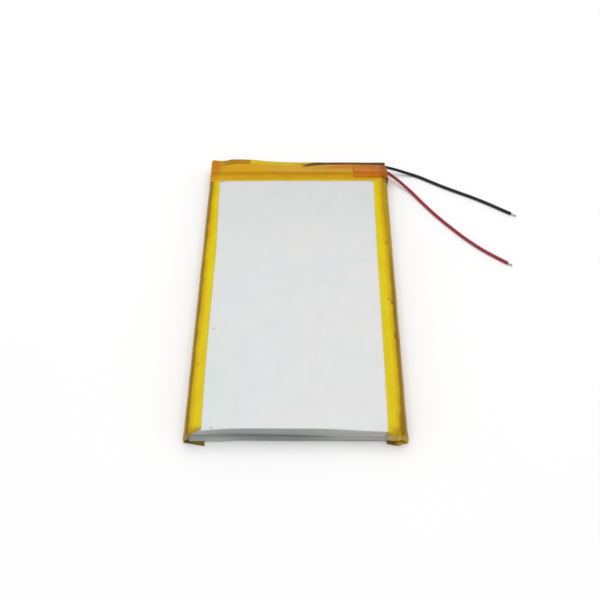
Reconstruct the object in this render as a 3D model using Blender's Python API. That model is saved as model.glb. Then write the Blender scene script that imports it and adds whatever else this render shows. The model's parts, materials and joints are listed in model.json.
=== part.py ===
"""Pouch battery cell with its protection board, edge tapes and two leads.

The frame is in metres, +Z up. The origin is the middle of the underside, +X runs across
the width and +Y runs along the length to the terminal end. The sizes below are in
millimetres, and a mesh is scaled by MM when it is made.
"""

import math

import bmesh
import bpy
from mathutils import Matrix, Vector

MM = 0.001

# Driving dimensions, in millimetres.
CELL_HALF_WIDTH = 29.95  # over the edge tapes
CELL_HALF_LENGTH = 52.9  # from the tapes' overhang to the terminal tape's far face
FILM = 0.15  # laminate thickness
TAPE = 0.10  # tape thickness
GAP = 0.05  # clearance between films that lie on each other

# The laminate pouch.
POUCH_NEAR = -51.4  # the fold at the plain end
TERRACE_LENGTH = 5.3  # sealed ledge that the tabs come through
TERRACE_FAR = 51.5
WALL_FAR = TERRACE_FAR - TERRACE_LENGTH
CORNER_RADIUS = 2.0
ARC_STEPS = 4
PLATEAU_TOP = 6.15  # height of the flat middle of the top face
PLATEAU_HALF_WIDTH = 18.0
SHOULDER_HALF_WIDTH = 28.3
PLATEAU_NEAR = -48.2
PLATEAU_FAR = 40.9  # the flat ends just before the terminal tape
PLATEAU_CORNER = 1.0
QUARTER_WIDTH = 9.0
CROWN_DROP = 0.35  # fall of the top face from the plateau to the shoulder
END_DROP = 0.08  # fall of the top face from the plateau to both ends
SEAL_TOP = 4.6  # height of the side seals, folded up along the cell
LIP_TOP = 2.6  # height of the fold at the plain end
COVER_FLOOR = TAPE + GAP
FIELD_FLOOR = 0.08  # the cover's underside bulges down between the edge tapes
FIELD_HALF_WIDTH = 24.2
FIELD_INSET = 0.6  # how far the field's ends lie inside the cover's
FIELD_SLOPE = 0.2  # width of the step round the field
FIELD_CORNER = 1.0
COVER_HALF_WIDTH = CELL_HALF_WIDTH - TAPE - GAP
CUP_HALF_WIDTH = COVER_HALF_WIDTH - 2 * FILM - 2 * GAP
CUP_NEAR = POUCH_NEAR + FILM + GAP
SIDE_FOOT = COVER_FLOOR + FILM + 0.07  # underside of the cup's film at the long sides
TERRACE_FOOT = 0.75  # underside of the cup's film on the terrace

# The wound core.
CORE_HALF_WIDTH = 28.9
CORE_NEAR = -48.4
CORE_FAR = 44.2
CORE_BOTTOM = 0.45
SHEET = 0.13
SHEET_PITCH = 0.185
SHEETS = 4
INNER_RADIUS = 0.32
HALF_TURNS = 5
CORE_REACH = INNER_RADIUS + (2 * HALF_TURNS + SHEETS - 1) * SHEET_PITCH + SHEET / 2
CORE_AXIS_Z = CORE_BOTTOM + CORE_REACH - 2 * SHEET_PITCH
WIND_HALF_FLAT = CORE_HALF_WIDTH - CORE_REACH
WIND_START = 6.0 - WIND_HALF_FLAT  # where the innermost run begins

# The terminals.
TAB = 0.15
TAB_WIDTH = 6.0
TAB_X = 19.0
TAB_SEAL_Z = 0.525  # height of a tab's middle in the terrace
BOARD_NEAR = 46.9
BOARD_FAR = 51.1
BOARD_HALF_LENGTH = 24.0
BOARD_BOTTOM = 1.80
BOARD_TOP = 2.40
PLATE_TOP = BOARD_TOP + GAP + 0.15
PART_FLOOR = BOARD_TOP + GAP  # the underside of what is soldered to the board
TAB_END_Z = PLATE_TOP + GAP + TAB / 2

# The leads.
LEAD_DIAMETER = 1.0
LEAD_POINT_SPACING = 2.4 * LEAD_DIAMETER
TIP_DIAMETER = 0.42
LEAD_ON_FLOOR = LEAD_DIAMETER / 2 + 0.03
BLACK_ROUTE = [
    (2.1, 50.3, 3.05),
    (5.5, 51.4, 3.20),
    (9.5, 52.0, 3.50),
    (15.0, 52.15, 3.55),
    (22.0, 52.1, 3.50),
    (27.0, 51.7, 3.35),
    (30.1, 51.3, 3.10),
    (33.5, 51.1, 2.20),
    (37.0, 50.7, 1.15),
    (40.7, 49.7, LEAD_ON_FLOOR),
    (44.3, 47.6, LEAD_ON_FLOOR),
    (48.9, 44.8, LEAD_ON_FLOOR),
    (53.8, 42.1, LEAD_ON_FLOOR),
    (58.7, 39.5, LEAD_ON_FLOOR),
    (63.4, 36.7, LEAD_ON_FLOOR),
    (67.5, 34.0, LEAD_ON_FLOOR),
    (70.6, 32.0, LEAD_ON_FLOOR),
]
RED_ROUTE = [
    (11.1, 49.4, 3.00),
    (14.5, 49.6, 3.35),
    (18.5, 49.7, 3.45),
    (23.0, 49.7, 3.40),
    (27.0, 49.6, 3.15),
    (30.1, 49.3, 2.80),
    (34.2, 46.1, 1.80),
    (38.2, 41.9, 0.85),
    (41.4, 37.4, LEAD_ON_FLOOR),
    (44.4, 33.0, LEAD_ON_FLOOR),
    (47.4, 29.0, LEAD_ON_FLOOR),
    (50.4, 25.4, LEAD_ON_FLOOR),
    (53.3, 22.0, LEAD_ON_FLOOR),
    (56.2, 19.0, LEAD_ON_FLOOR),
    (59.2, 16.2, LEAD_ON_FLOOR),
    (62.2, 13.8, LEAD_ON_FLOOR),
    (66.4, 10.7, LEAD_ON_FLOOR),
]
BLACK_TIP_LENGTH = 1.9
RED_TIP_LENGTH = 1.6


# ---------------------------------------------------------------- helpers


def clear_scene():
    for old in list(bpy.data.objects):
        bpy.data.objects.remove(old, do_unlink=True)


def make_material(name, colour, roughness, metallic=0.0):
    material = bpy.data.materials.new(name)
    material.use_nodes = True
    shader = material.node_tree.nodes["Principled BSDF"]
    shader.inputs["Base Color"].default_value = (*colour, 1.0)
    shader.inputs["Roughness"].default_value = roughness
    shader.inputs["Metallic"].default_value = metallic
    material.diffuse_color = (*colour, 1.0)
    return material


def add_object(name, bm, material, smooth_below=35.0):
    """Turns a bmesh in millimetres into an object in metres, with its faces pointing out."""
    bmesh.ops.recalc_face_normals(bm, faces=bm.faces)
    bmesh.ops.scale(bm, vec=(MM, MM, MM), verts=bm.verts)
    mesh = bpy.data.meshes.new(name)
    bm.to_mesh(mesh)
    bm.free()
    mesh.materials.append(material)
    mesh.shade_smooth()
    mesh.set_sharp_from_angle(angle=math.radians(smooth_below))
    obj = bpy.data.objects.new(name, mesh)
    bpy.context.scene.collection.objects.link(obj)
    return obj


def add_box(name, low, high, material, bevel=0.0):
    """A block between two corners, with its edges bevelled."""
    bm = box_mesh(low, high, bevel)
    return add_object(name, bm, material)


def box_mesh(low, high, bevel=0.0):
    bm = bmesh.new()
    size = Vector(high) - Vector(low)
    middle = (Vector(high) + Vector(low)) / 2
    matrix = Matrix.Translation(middle) @ Matrix.Diagonal((*size, 1.0))
    bmesh.ops.create_cube(bm, size=1.0, matrix=matrix)
    if bevel:
        bmesh.ops.bevel(bm, geom=bm.edges[:], offset=bevel, segments=1, affect="EDGES")
    return bm


def loft_rings(name, rings, material):
    """A closed body whose rings are joined in turn, and whose first and last are capped."""
    bm = bmesh.new()
    loops = [[bm.verts.new(point) for point in ring] for ring in rings]
    count = len(loops[0])
    for first, second in zip(loops, loops[1:]):
        for i in range(count):
            j = (i + 1) % count
            bm.faces.new((first[i], first[j], second[j], second[i]))
    bm.faces.new(loops[0])
    bm.faces.new(loops[-1])
    return add_object(name, bm, material)


def loft_strip(name, stations, material):
    """A thin sheet. Each station holds the points of its two sides, in the same order."""
    bm = bmesh.new()
    sides = [
        [[bm.verts.new(point) for point in side] for side in station]
        for station in stations
    ]
    for (front, back), (next_front, next_back) in zip(sides, sides[1:]):
        loop = front + back[::-1]
        next_loop = next_front + next_back[::-1]
        for i in range(len(loop)):
            j = (i + 1) % len(loop)
            bm.faces.new((loop[i], loop[j], next_loop[j], next_loop[i]))
    for front, back in (sides[0], sides[-1]):
        for i in range(len(front) - 1):
            bm.faces.new((front[i], front[i + 1], back[i + 1], back[i]))
    return add_object(name, bm, material)


def offset_path(path, distance):
    """The flat path moved sideways to its left, with its corners kept sharp."""
    points = [Vector(point) for point in path]
    moved = []
    for i, point in enumerate(points):
        before = points[max(i - 1, 0)]
        after = points[min(i + 1, len(points) - 1)]
        arriving = (point - before) if i else (after - point)
        leaving = (after - point) if i < len(points) - 1 else (point - before)
        normal_in = Vector((-arriving.y, arriving.x)).normalized()
        normal_out = Vector((-leaving.y, leaving.x)).normalized()
        normal = (normal_in + normal_out).normalized()
        moved.append(point + normal * (distance / normal.dot(normal_in)))
    return moved


def strip_along_x(name, path, thickness, low_x, high_x, material):
    """A strip of constant thickness whose middle line is a path of (y, z)."""
    sides = (offset_path(path, thickness / 2), offset_path(path, -thickness / 2))
    stations = [[[(x, y, z) for y, z in side] for side in sides] for x in (low_x, high_x)]
    return loft_strip(name, stations, material)


def strip_along_y(name, path, thickness, low_y, high_y, material):
    """A strip of constant thickness whose middle line is a path of (x, z)."""
    sides = (offset_path(path, thickness / 2), offset_path(path, -thickness / 2))
    stations = [[[(x, y, z) for x, z in side] for side in sides] for y in (low_y, high_y)]
    return loft_strip(name, stations, material)


def arc_points(centre, radius, start, end, steps):
    """Points on an arc in a plane, from angle start to end in degrees."""
    angles = [math.radians(start + (end - start) * i / steps) for i in range(steps + 1)]
    return [
        (centre[0] + radius * math.cos(a), centre[1] + radius * math.sin(a)) for a in angles
    ]


def smooth_curve(points, samples=16):
    """A Catmull-Rom curve through the points, closely sampled."""
    knots = [Vector(point) for point in points]
    padded = [2 * knots[0] - knots[1], *knots, 2 * knots[-1] - knots[-2]]
    curve = []
    for a, b, c, d in zip(padded, padded[1:], padded[2:], padded[3:]):
        for i in range(samples):
            t = i / samples
            curve.append(
                0.5
                * (
                    2 * b
                    + (c - a) * t
                    + (2 * a - 5 * b + 4 * c - d) * t**2
                    + (3 * b - a - 3 * c + d) * t**3
                )
            )
    return [*curve, knots[-1]]


def evenly_spaced(points, spacing):
    """Points along a polyline at equal steps close to the spacing, ends included."""
    lengths = [(b - a).length for a, b in zip(points, points[1:])]
    count = max(2, round(sum(lengths) / spacing))
    step = sum(lengths) / count
    found = [points[0]]
    travelled = 0.0
    for a, b, length in zip(points, points[1:], lengths):
        while len(found) < count and travelled + length >= step * len(found):
            found.append(a.lerp(b, (step * len(found) - travelled) / length))
        travelled += length
    return [*found, points[-1]]


def interpolate(table, x):
    """The value at x on straight lines between the pairs of the table."""
    for (x0, v0), (x1, v1) in zip(table, table[1:]):
        if x <= x1:
            return v0 + (v1 - v0) * max(0.0, x - x0) / (x1 - x0)
    return table[-1][1]


# ---------------------------------------------------------------- pouch


def crown(x):
    """Height of the pouch's top face, flat in the middle and falling to its shoulders."""
    beyond = min(abs(x), SHOULDER_HALF_WIDTH) - PLATEAU_HALF_WIDTH
    return PLATEAU_TOP - CROWN_DROP * max(0.0, beyond) / (
        SHOULDER_HALF_WIDTH - PLATEAU_HALF_WIDTH
    )


def outline(half_width, near, far, radius, end_x):
    """Stations round a rounded rectangle: (x, y), outward direction and side."""
    stations = []
    corners = (
        (1, near + radius, -90, "near", "right"),
        (1, far - radius, 0, "right", "far"),
        (-1, far - radius, 90, "far", "left"),
        (-1, near + radius, 180, "left", "near"),
    )
    for sign, centre_y, start, first, last in corners:
        for i in range(ARC_STEPS + 1):
            side = first if i == 0 else last if i == ARC_STEPS else f"{first}_{last}"
            angle = math.radians(start + 90 * i / ARC_STEPS)
            out = Vector((math.cos(angle), math.sin(angle)))
            centre = Vector((sign * (half_width - radius), centre_y))
            stations.append((centre + radius * out, out, side))
        if last == "near" or (first, last) == ("right", "far"):
            end, way = (near, 1) if last == "near" else (far, -1)
            for x in (-end_x, 0.0, end_x):
                stations.append((Vector((way * x, end)), Vector((0, -way)), last))
    return stations


def ring_of(stations, place):
    """One ring, where place gives each station's (offset, height)."""
    ring = []
    for point, out, side in stations:
        offset, height = place(point, side)
        moved = point + out * offset
        ring.append((moved.x, moved.y, height))
    return ring


def edge_radius(side):
    """Rounding between the top face and a wall."""
    return {"near": 0.45, "left": 1.1, "right": 1.1, "far": 0.7}.get(side, 0.75)


def cup_foot(side):
    """Path of the film below the wall: down the outside, along the seal and back inside."""
    if side in ("left", "right"):
        foot_top = SIDE_FOOT + FILM
        return [
            (0.0, foot_top + GAP),
            (GAP / 2, foot_top),
            (GAP, foot_top + GAP),
            (GAP, SEAL_TOP),
            (GAP + FILM, SEAL_TOP),
            (GAP + FILM, SIDE_FOOT),
            (-FILM, SIDE_FOOT),
        ]
    if side == "far":
        foot_top = TERRACE_FOOT + FILM
        return [
            (0.0, foot_top + GAP),
            (GAP, foot_top),
            (TERRACE_LENGTH / 2, foot_top),
            (TERRACE_LENGTH, foot_top),
            (TERRACE_LENGTH, TERRACE_FOOT),
            (TERRACE_LENGTH / 2, TERRACE_FOOT),
            (-FILM, TERRACE_FOOT),
        ]
    foot = TERRACE_FOOT if "far" in side else SIDE_FOOT
    return [(0.0, foot + FILM * (5 - i) / 5) for i in range(6)] + [(-FILM, foot)]


def build_pouch_cup():
    """The drawn half of the pouch: top face, walls, folded side seals and terrace."""
    wall = outline(CUP_HALF_WIDTH, CUP_NEAR, WALL_FAR, CORNER_RADIUS, PLATEAU_HALF_WIDTH)
    plateau = outline(
        PLATEAU_HALF_WIDTH, PLATEAU_NEAR, PLATEAU_FAR, PLATEAU_CORNER, QUARTER_WIDTH
    )

    def rounded(degrees, thickness):
        turn = math.radians(degrees)

        def place(point, side):
            radius = edge_radius(side)
            reach = radius - thickness
            top = crown(point.x) - (0.0 if side in ("left", "right") else END_DROP)
            return (reach * math.cos(turn) - radius, top - radius + reach * math.sin(turn))

        return ring_of(wall, place)

    rings = [ring_of(plateau, lambda point, side: (0.0, PLATEAU_TOP))]
    rings += [rounded(degrees, 0.0) for degrees in (90, 45, 0)]
    rings += [ring_of(wall, lambda point, side, i=i: cup_foot(side)[i]) for i in range(7)]
    rings += [rounded(degrees, FILM) for degrees in (0, 45, 90)]
    rings.append(ring_of(plateau, lambda point, side: (0.0, PLATEAU_TOP - FILM)))
    material = make_material("pouch_cup", (0.72, 0.73, 0.73), 0.42, 0.35)
    return loft_rings("pouch_cup", rings, material)


def cover_rim(side):
    """Path of the film at the cover's edge: round the bottom corner, up and back inside."""
    floor_top = COVER_FLOOR + FILM
    bend = 0.12
    if side == "far":
        return [
            (0.0, COVER_FLOOR),
            (TERRACE_LENGTH, COVER_FLOOR),
            (TERRACE_LENGTH, COVER_FLOOR + FILM / 2),
            (TERRACE_LENGTH, floor_top),
            (-FILM, floor_top),
        ]
    if "far" in side:
        return [
            (-bend, COVER_FLOOR),
            (0.0, COVER_FLOOR + FILM / 3),
            (0.0, COVER_FLOOR + 2 * FILM / 3),
            (-FILM / 3, floor_top),
            (-FILM, floor_top),
        ]
    top = SEAL_TOP if side in ("left", "right") else LIP_TOP
    return [
        (-bend, COVER_FLOOR),
        (0.0, COVER_FLOOR + bend),
        (0.0, top),
        (-FILM, top),
        (-FILM, floor_top),
    ]


def build_pouch_cover():
    """The flat half of the pouch, turned up at the plain end and along both sides."""
    edge = outline(
        COVER_HALF_WIDTH, POUCH_NEAR, WALL_FAR, CORNER_RADIUS + FILM + GAP, PLATEAU_HALF_WIDTH
    )
    rings = []
    for slope, height in ((0.0, FIELD_FLOOR), (FIELD_SLOPE, COVER_FLOOR)):
        near = POUCH_NEAR + FIELD_INSET - slope
        far = WALL_FAR - FIELD_INSET + slope
        half_width = FIELD_HALF_WIDTH + slope
        field = outline(half_width, near, far, FIELD_CORNER, PLATEAU_HALF_WIDTH)
        rings.append(ring_of(field, lambda point, side, height=height: (0.0, height)))
    rings += [ring_of(edge, lambda point, side, i=i: cover_rim(side)[i]) for i in range(5)]
    material = make_material("pouch_cover", (0.66, 0.67, 0.67), 0.45, 0.35)
    return loft_rings("pouch_cover", rings, material)


# ---------------------------------------------------------------- wound core


def winding_path(level, end_x):
    """Middle line of one wound sheet, as (x, z), from the first run to the last."""
    radius = INNER_RADIUS + level * SHEET_PITCH
    path = [(WIND_START, CORE_AXIS_Z - radius)]
    for half_turn in range(HALF_TURNS):
        side = 1 if half_turn % 2 == 0 else -1
        for i in range(ARC_STEPS * 2 + 1):
            share = i / (ARC_STEPS * 2)
            angle = math.pi * (share - 0.5)
            reach = radius + 2 * SHEET_PITCH * share
            x = side * (WIND_HALF_FLAT + reach * math.cos(angle))
            path.append((x, CORE_AXIS_Z + side * reach * math.sin(angle)))
        radius += 2 * SHEET_PITCH
    path.append((end_x, CORE_AXIS_Z + radius))
    return path


def build_core():
    """Cathode, anode and the two separators, wound flat as one core."""
    sheets = (
        ("cathode_sheet", 1.2, -13.0, (0.035, 0.035, 0.04), 0.75),
        ("separator_inner", 0.0, -17.5, (0.86, 0.87, 0.86), 0.55),
        ("anode_sheet", 0.6, -15.5, (0.09, 0.055, 0.04), 0.70),
        ("separator_outer", 0.0, -19.0, (0.86, 0.87, 0.86), 0.55),
    )
    for level, (name, inset, end_x, colour, roughness) in enumerate(sheets):
        material = make_material(name, colour, roughness)
        path = winding_path(level, end_x)
        strip_along_y(name, path, SHEET, CORE_NEAR + inset, CORE_FAR - inset, material)


def build_winding_tape():
    """Thin tape that holds the last layer of the core down."""
    bottom = CORE_BOTTOM + 2 * CORE_REACH - 2 * SHEET_PITCH + 0.04
    material = make_material("winding_tape", (0.05, 0.30, 0.16), 0.35)
    low = (-23.5, -24.0, bottom)
    high = (-12.0, 20.0, bottom + 0.06)
    return add_box("winding_tape", low, high, material)


# ---------------------------------------------------------------- terminals


def tab_route_inside():
    """Path of both tabs as (y, z): out of the core and down through the terrace."""
    return [
        (28.0, CORE_AXIS_Z + 0.15),
        (44.5, CORE_AXIS_Z + 0.15),
        (45.1, 2.75),
        (45.4, 2.20),
        (45.5, 1.20),
        (45.8, 0.70),
        (46.4, TAB_SEAL_Z),
        (TERRACE_FAR, TAB_SEAL_Z),
    ]


def build_negative_tab():
    """Nickel strip, folded back in a half circle onto the board."""
    radius = (TAB_END_Z - TAB_SEAL_Z) / 2
    fold = arc_points((TERRACE_FAR, TAB_SEAL_Z + radius), radius, -90, 90, 8)
    path = tab_route_inside() + fold[1:] + [(47.6, TAB_END_Z)]
    material = make_material("negative_tab", (0.62, 0.60, 0.56), 0.32, 1.0)
    left = TAB_X - TAB_WIDTH / 2
    return strip_along_x("negative_tab", path, TAB, left, left + TAB_WIDTH, material)


def build_positive_tab():
    """Aluminium strip, folded back in a high loop that stands up under the tape."""
    loop = smooth_curve(
        [
            (TERRACE_FAR, TAB_SEAL_Z),
            (52.3, 1.30),
            (52.55, 2.60),
            (52.45, 4.10),
            (51.9, 4.90),
            (51.2, 4.55),
            (50.6, 3.50),
            (49.9, 2.85),
            (49.0, TAB_END_Z),
            (47.6, TAB_END_Z),
        ],
        samples=3,
    )
    path = tab_route_inside()[:-1] + [tuple(point) for point in loop]
    material = make_material("positive_tab", (0.80, 0.81, 0.82), 0.30, 1.0)
    left = -TAB_X - TAB_WIDTH / 2
    return strip_along_x("positive_tab", path, TAB, left, left + TAB_WIDTH, material)


def build_tab_seal(name, middle_x):
    """Sealing film round a tab: a flat sleeve, open at both ends."""
    half_width = TAB_WIDTH / 2 + 1.2
    hole_half_width = TAB_WIDTH / 2 + GAP
    near = 46.9
    far = 51.3
    outer_z = (COVER_FLOOR + FILM + GAP, TERRACE_FOOT - GAP)
    hole_z = (TAB_SEAL_Z - TAB / 2 - 0.03, TAB_SEAL_Z + TAB / 2 + 0.03)

    def corners(half, heights, y):
        low, high = heights
        return [
            (middle_x - half, y, low),
            (middle_x + half, y, low),
            (middle_x + half, y, high),
            (middle_x - half, y, high),
        ]

    bm = bmesh.new()
    loops = [
        [bm.verts.new(point) for point in corners(half, heights, y)]
        for half, heights, y in (
            (half_width, outer_z, near),
            (half_width, outer_z, far),
            (hole_half_width, hole_z, far),
            (hole_half_width, hole_z, near),
        )
    ]
    for first, second in zip(loops, loops[1:] + loops[:1]):
        for i in range(4):
            j = (i + 1) % 4
            bm.faces.new((first[i], first[j], second[j], second[i]))
    return add_object(name, bm, make_material(name, (0.12, 0.12, 0.12), 0.5))


# ---------------------------------------------------------------- protection board


def build_board():
    """The board, with the foam and paper between it and the terrace."""
    foam = make_material("foam_pad", (0.80, 0.80, 0.76), 0.9)
    low = (-22.5, BOARD_NEAR + 0.2, TERRACE_FOOT + FILM + GAP)
    add_box("foam_pad", low, (22.5, BOARD_FAR - 0.2, 1.55), foam)
    paper = make_material("insulating_paper", (0.55, 0.60, 0.42), 0.85)
    low = (-24.8, BOARD_NEAR - 0.2, 1.60)
    add_box("insulating_paper", low, (24.8, BOARD_FAR + 0.1, 1.75), paper)
    green = make_material("protection_board", (0.02, 0.16, 0.07), 0.4)
    low = (-BOARD_HALF_LENGTH, BOARD_NEAR, BOARD_BOTTOM)
    high = (BOARD_HALF_LENGTH, BOARD_FAR, BOARD_TOP)
    add_box("protection_board", low, high, green, bevel=0.05)


def build_plate(name, middle_x):
    """Nickel plate on the board that a tab is welded to."""
    material = make_material(name, (0.66, 0.64, 0.60), 0.35, 1.0)
    low = (middle_x - 4.0, BOARD_NEAR + 0.4, PART_FLOOR)
    high = (middle_x + 4.0, BOARD_FAR - 0.4, PLATE_TOP)
    return add_box(name, low, high, material)


def build_chip(name, middle_x, middle_y):
    """Six-leg package: a bevelled body with bent legs on two sides, joined into one solid."""
    half_length = 1.45
    leg_profile = [
        (0.70, 0.65),
        (0.98, 0.65),
        (0.98, 0.15),
        (1.40, 0.15),
        (1.40, 0.0),
        (0.83, 0.0),
        (0.83, 0.50),
        (0.70, 0.50),
    ]
    material = make_material(name, (0.025, 0.025, 0.028), 0.45)
    low = (-half_length, -0.8, 0.10)
    body = add_object(name, box_mesh(low, (half_length, 0.8, 1.10), 0.08), material)
    bm = bmesh.new()
    for side in (-1, 1):
        for x in (-0.95, 0.0, 0.95):
            ends = [
                [bm.verts.new((x + across, side * y, z)) for y, z in leg_profile]
                for across in (-0.2, 0.2)
            ]
            bm.faces.new(ends[0])
            bm.faces.new(ends[1])
            for i in range(len(leg_profile)):
                j = (i + 1) % len(leg_profile)
                bm.faces.new((ends[0][i], ends[0][j], ends[1][j], ends[1][i]))
    legs = add_object(f"{name}_legs", bm, material)
    join_into(body, legs)
    body.location = (middle_x * MM, middle_y * MM, PART_FLOOR * MM)
    return body


def join_into(body, extra):
    """Joins a second object into the first with a union, and removes the second."""
    union = body.modifiers.new("union", "BOOLEAN")
    union.operation = "UNION"
    union.solver = "EXACT"
    union.use_self = True
    union.object = extra
    evaluated = body.evaluated_get(bpy.context.evaluated_depsgraph_get())
    joined = bpy.data.meshes.new_from_object(evaluated)
    joined.name = body.name
    body.modifiers.clear()
    body.data = joined
    bpy.data.objects.remove(extra, do_unlink=True)


def build_chip_part(name, middle_x, middle_y, height, colour):
    """Small two-terminal part, with its length across the board."""
    material = make_material(name, colour, 0.5)
    low = (middle_x - 0.4, middle_y - 0.8, PART_FLOOR)
    high = (middle_x + 0.4, middle_y + 0.8, PART_FLOOR + height)
    return add_box(name, low, high, material, bevel=0.06)


def build_solder_joint(name, middle_x, middle_y):
    """Solder dome with a flat foot, where a lead meets its pad."""
    bm = bmesh.new()
    bmesh.ops.create_uvsphere(bm, u_segments=16, v_segments=10, radius=1.0)
    geometry = bm.verts[:] + bm.edges[:] + bm.faces[:]
    cut = bmesh.ops.bisect_plane(
        bm, geom=geometry, plane_co=(0, 0, -0.2), plane_no=(0, 0, -1), clear_outer=True
    )
    rim = [item for item in cut["geom_cut"] if isinstance(item, bmesh.types.BMEdge)]
    bmesh.ops.edgeloop_fill(bm, edges=rim)
    bmesh.ops.scale(bm, vec=(0.95, 0.75, 0.75), verts=bm.verts)
    shift = (middle_x, middle_y, PART_FLOOR + 0.2 * 0.75)
    bmesh.ops.translate(bm, vec=shift, verts=bm.verts)
    return add_object(name, bm, make_material(name, (0.72, 0.72, 0.73), 0.25, 1.0), 60.0)


def build_parts_on_board():
    build_plate("positive_plate", -TAB_X)
    build_plate("negative_plate", TAB_X)
    build_chip_part("resistor_left", -11.6, 49.0, 0.45, (0.03, 0.03, 0.035))
    build_chip_part("capacitor", -9.4, 49.0, 0.80, (0.42, 0.30, 0.18))
    build_chip("protection_ic", -6.3, 49.0)
    build_chip("mosfet_left", -2.6, 49.0)
    build_chip_part("resistor_right", 3.9, 48.4, 0.45, (0.03, 0.03, 0.035))
    build_chip("mosfet_right", 6.9, 48.6)
    build_solder_joint("black_solder_joint", 1.0, 50.1)
    build_solder_joint("red_solder_joint", 9.95, 49.35)


# ---------------------------------------------------------------- tapes


def build_edge_tape(name, side, inner_x, bottom_inner_x, near_reach, far_reach):
    """U-shaped tape round one long edge, run on past the body as a wall beside the terrace.

    near_reach is how far each part of the section overhangs the cell at the plain end.
    """
    inside_x = CELL_HALF_WIDTH - TAPE
    top_leg = [(x, crown(x) + GAP) for x in (inner_x, 26.8, SHOULDER_HALF_WIDTH)]
    bend = [(29.25, 5.58), (29.72, 5.05), (inside_x, 4.70)]
    wall = [(inside_x, 0.25), (inside_x - 0.15, TAPE)]
    bottom_leg = [(29.64, TAPE), (28.0, TAPE), (bottom_inner_x, TAPE)]
    body_far = WALL_FAR - 0.2

    def station(reach, lower=0.0):
        top = [(x, z - lower) for x, z in top_leg + bend]
        inner = top + wall + bottom_leg
        sides = (inner, offset_path(inner, TAPE))
        return [[(side * x, y, z) for (x, z), y in zip(points, reach)] for points in sides]

    upper_count = len(top_leg + bend + wall)
    count = upper_count + len(bottom_leg)
    past_body = [far_reach] * upper_count + [body_far + GAP] * len(bottom_leg)
    stations = [
        station([POUCH_NEAR - overhang for overhang in near_reach]),
        station([POUCH_NEAR + 4.0] * count),
        station([body_far] * count),
        station(past_body, lower=slope_fall(side * SHOULDER_HALF_WIDTH, far_reach)),
    ]
    return loft_strip(name, stations, make_material(name, (0.75, 0.58, 0.03), 0.28))


# Height of the terminal tape's far edge across the width. The positive tab's loop lifts it.
FAR_EDGE_HEIGHT = (
    (-30.0, 4.75),
    (-25.0, 5.20),
    (-22.5, 5.60),
    (-15.0, 5.45),
    (-11.5, 4.90),
    (-6.0, 4.50),
    (0.0, 4.28),
    (30.0, 4.28),
)


def over_body(x):
    """Inside face of the terminal tape on the top face: it climbs onto the edge tapes."""
    edge_step = interpolate(((24.3, 0.0), (24.8, TAPE + GAP)), abs(x))
    past_shoulder = max(0.0, abs(x) - SHOULDER_HALF_WIDTH) * 0.19
    return crown(x) + GAP + edge_step - past_shoulder


def terminal_tape_path(x):
    """Inside face of the terminal tape, as (y, z), at one place across the width."""
    top = over_body(x)
    edge = interpolate(FAR_EDGE_HEIGHT, x) - TAPE
    far = CELL_HALF_LENGTH - TAPE
    return [
        (41.3, top),
        (WALL_FAR, top),
        (WALL_FAR + 3.0, top + (edge - top) * 0.42),
        (far - 0.55, edge),
        (far - 0.15, edge - 0.15),
        (far, edge - 0.50),
        (far, 0.25),
        (far - 0.15, TAPE),
        (WALL_FAR - 0.05, TAPE),
    ]


def top_of_terminal_tape(x, y):
    """Height of the terminal tape's inside face over the body and the board."""
    return interpolate(terminal_tape_path(x)[:4], y)


def slope_fall(x, y):
    """How far the terminal tape has come down from the body's top face at y."""
    return over_body(x) - top_of_terminal_tape(x, y)


def build_terminal_tape():
    """Tape wrapped over the terminal end: on the top face, over the board and under it."""
    left = (-29.6, -28.3, -24.8, -24.3, -22.5, -18.0, -15.0, -11.5, -6.0)
    right = (0.0, 18.0, 24.3, 24.8, 28.3, 29.6)
    sides = []
    for x in left + right:
        inner = terminal_tape_path(x)
        outer = offset_path(inner, TAPE)
        sides.append([[(x, y, z) for y, z in points] for points in (inner, outer)])
    return loft_strip(
        "terminal_tape", sides, make_material("terminal_tape", (0.66, 0.30, 0.03), 0.28)
    )


def build_exit_tape():
    """Short tape over the corner where the leads come out, folded down the side."""
    side_x = CELL_HALF_WIDTH + GAP
    stations = []
    for top_y, side_y in ((43.6, 43.6), (WALL_FAR, WALL_FAR), (49.3, 48.4)):
        across = (18.5, 24.3, 24.8, SHOULDER_HALF_WIDTH, 29.6)
        inner = [(x, top_of_terminal_tape(x, top_y) + TAPE + GAP) for x in across]
        inner += [(side_x, inner[-1][1] - 0.45), (side_x, 1.2)]
        outer = offset_path(inner, TAPE)
        reach = [top_y] * len(across) + [side_y] * 2
        stations.append(
            [[(x, y, z) for (x, z), y in zip(points, reach)] for points in (inner, outer)]
        )
    return loft_strip(
        "exit_tape", stations, make_material("exit_tape", (0.55, 0.17, 0.03), 0.3)
    )


# ---------------------------------------------------------------- leads


def add_tube(name, points, diameter, material):
    """A round tube along points in millimetres, with capped ends."""
    curve = bpy.data.curves.new(name, "CURVE")
    curve.dimensions = "3D"
    curve.bevel_depth = diameter * MM / 2
    curve.bevel_resolution = 2
    curve.use_fill_caps = True
    spline = curve.splines.new("POLY")
    spline.points.add(len(points) - 1)
    for target, point in zip(spline.points, points):
        target.co = (*(point * MM), 1.0)
    curve.materials.append(material)
    tube = bpy.data.objects.new(name, curve)
    bpy.context.scene.collection.objects.link(tube)
    return tube


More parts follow.
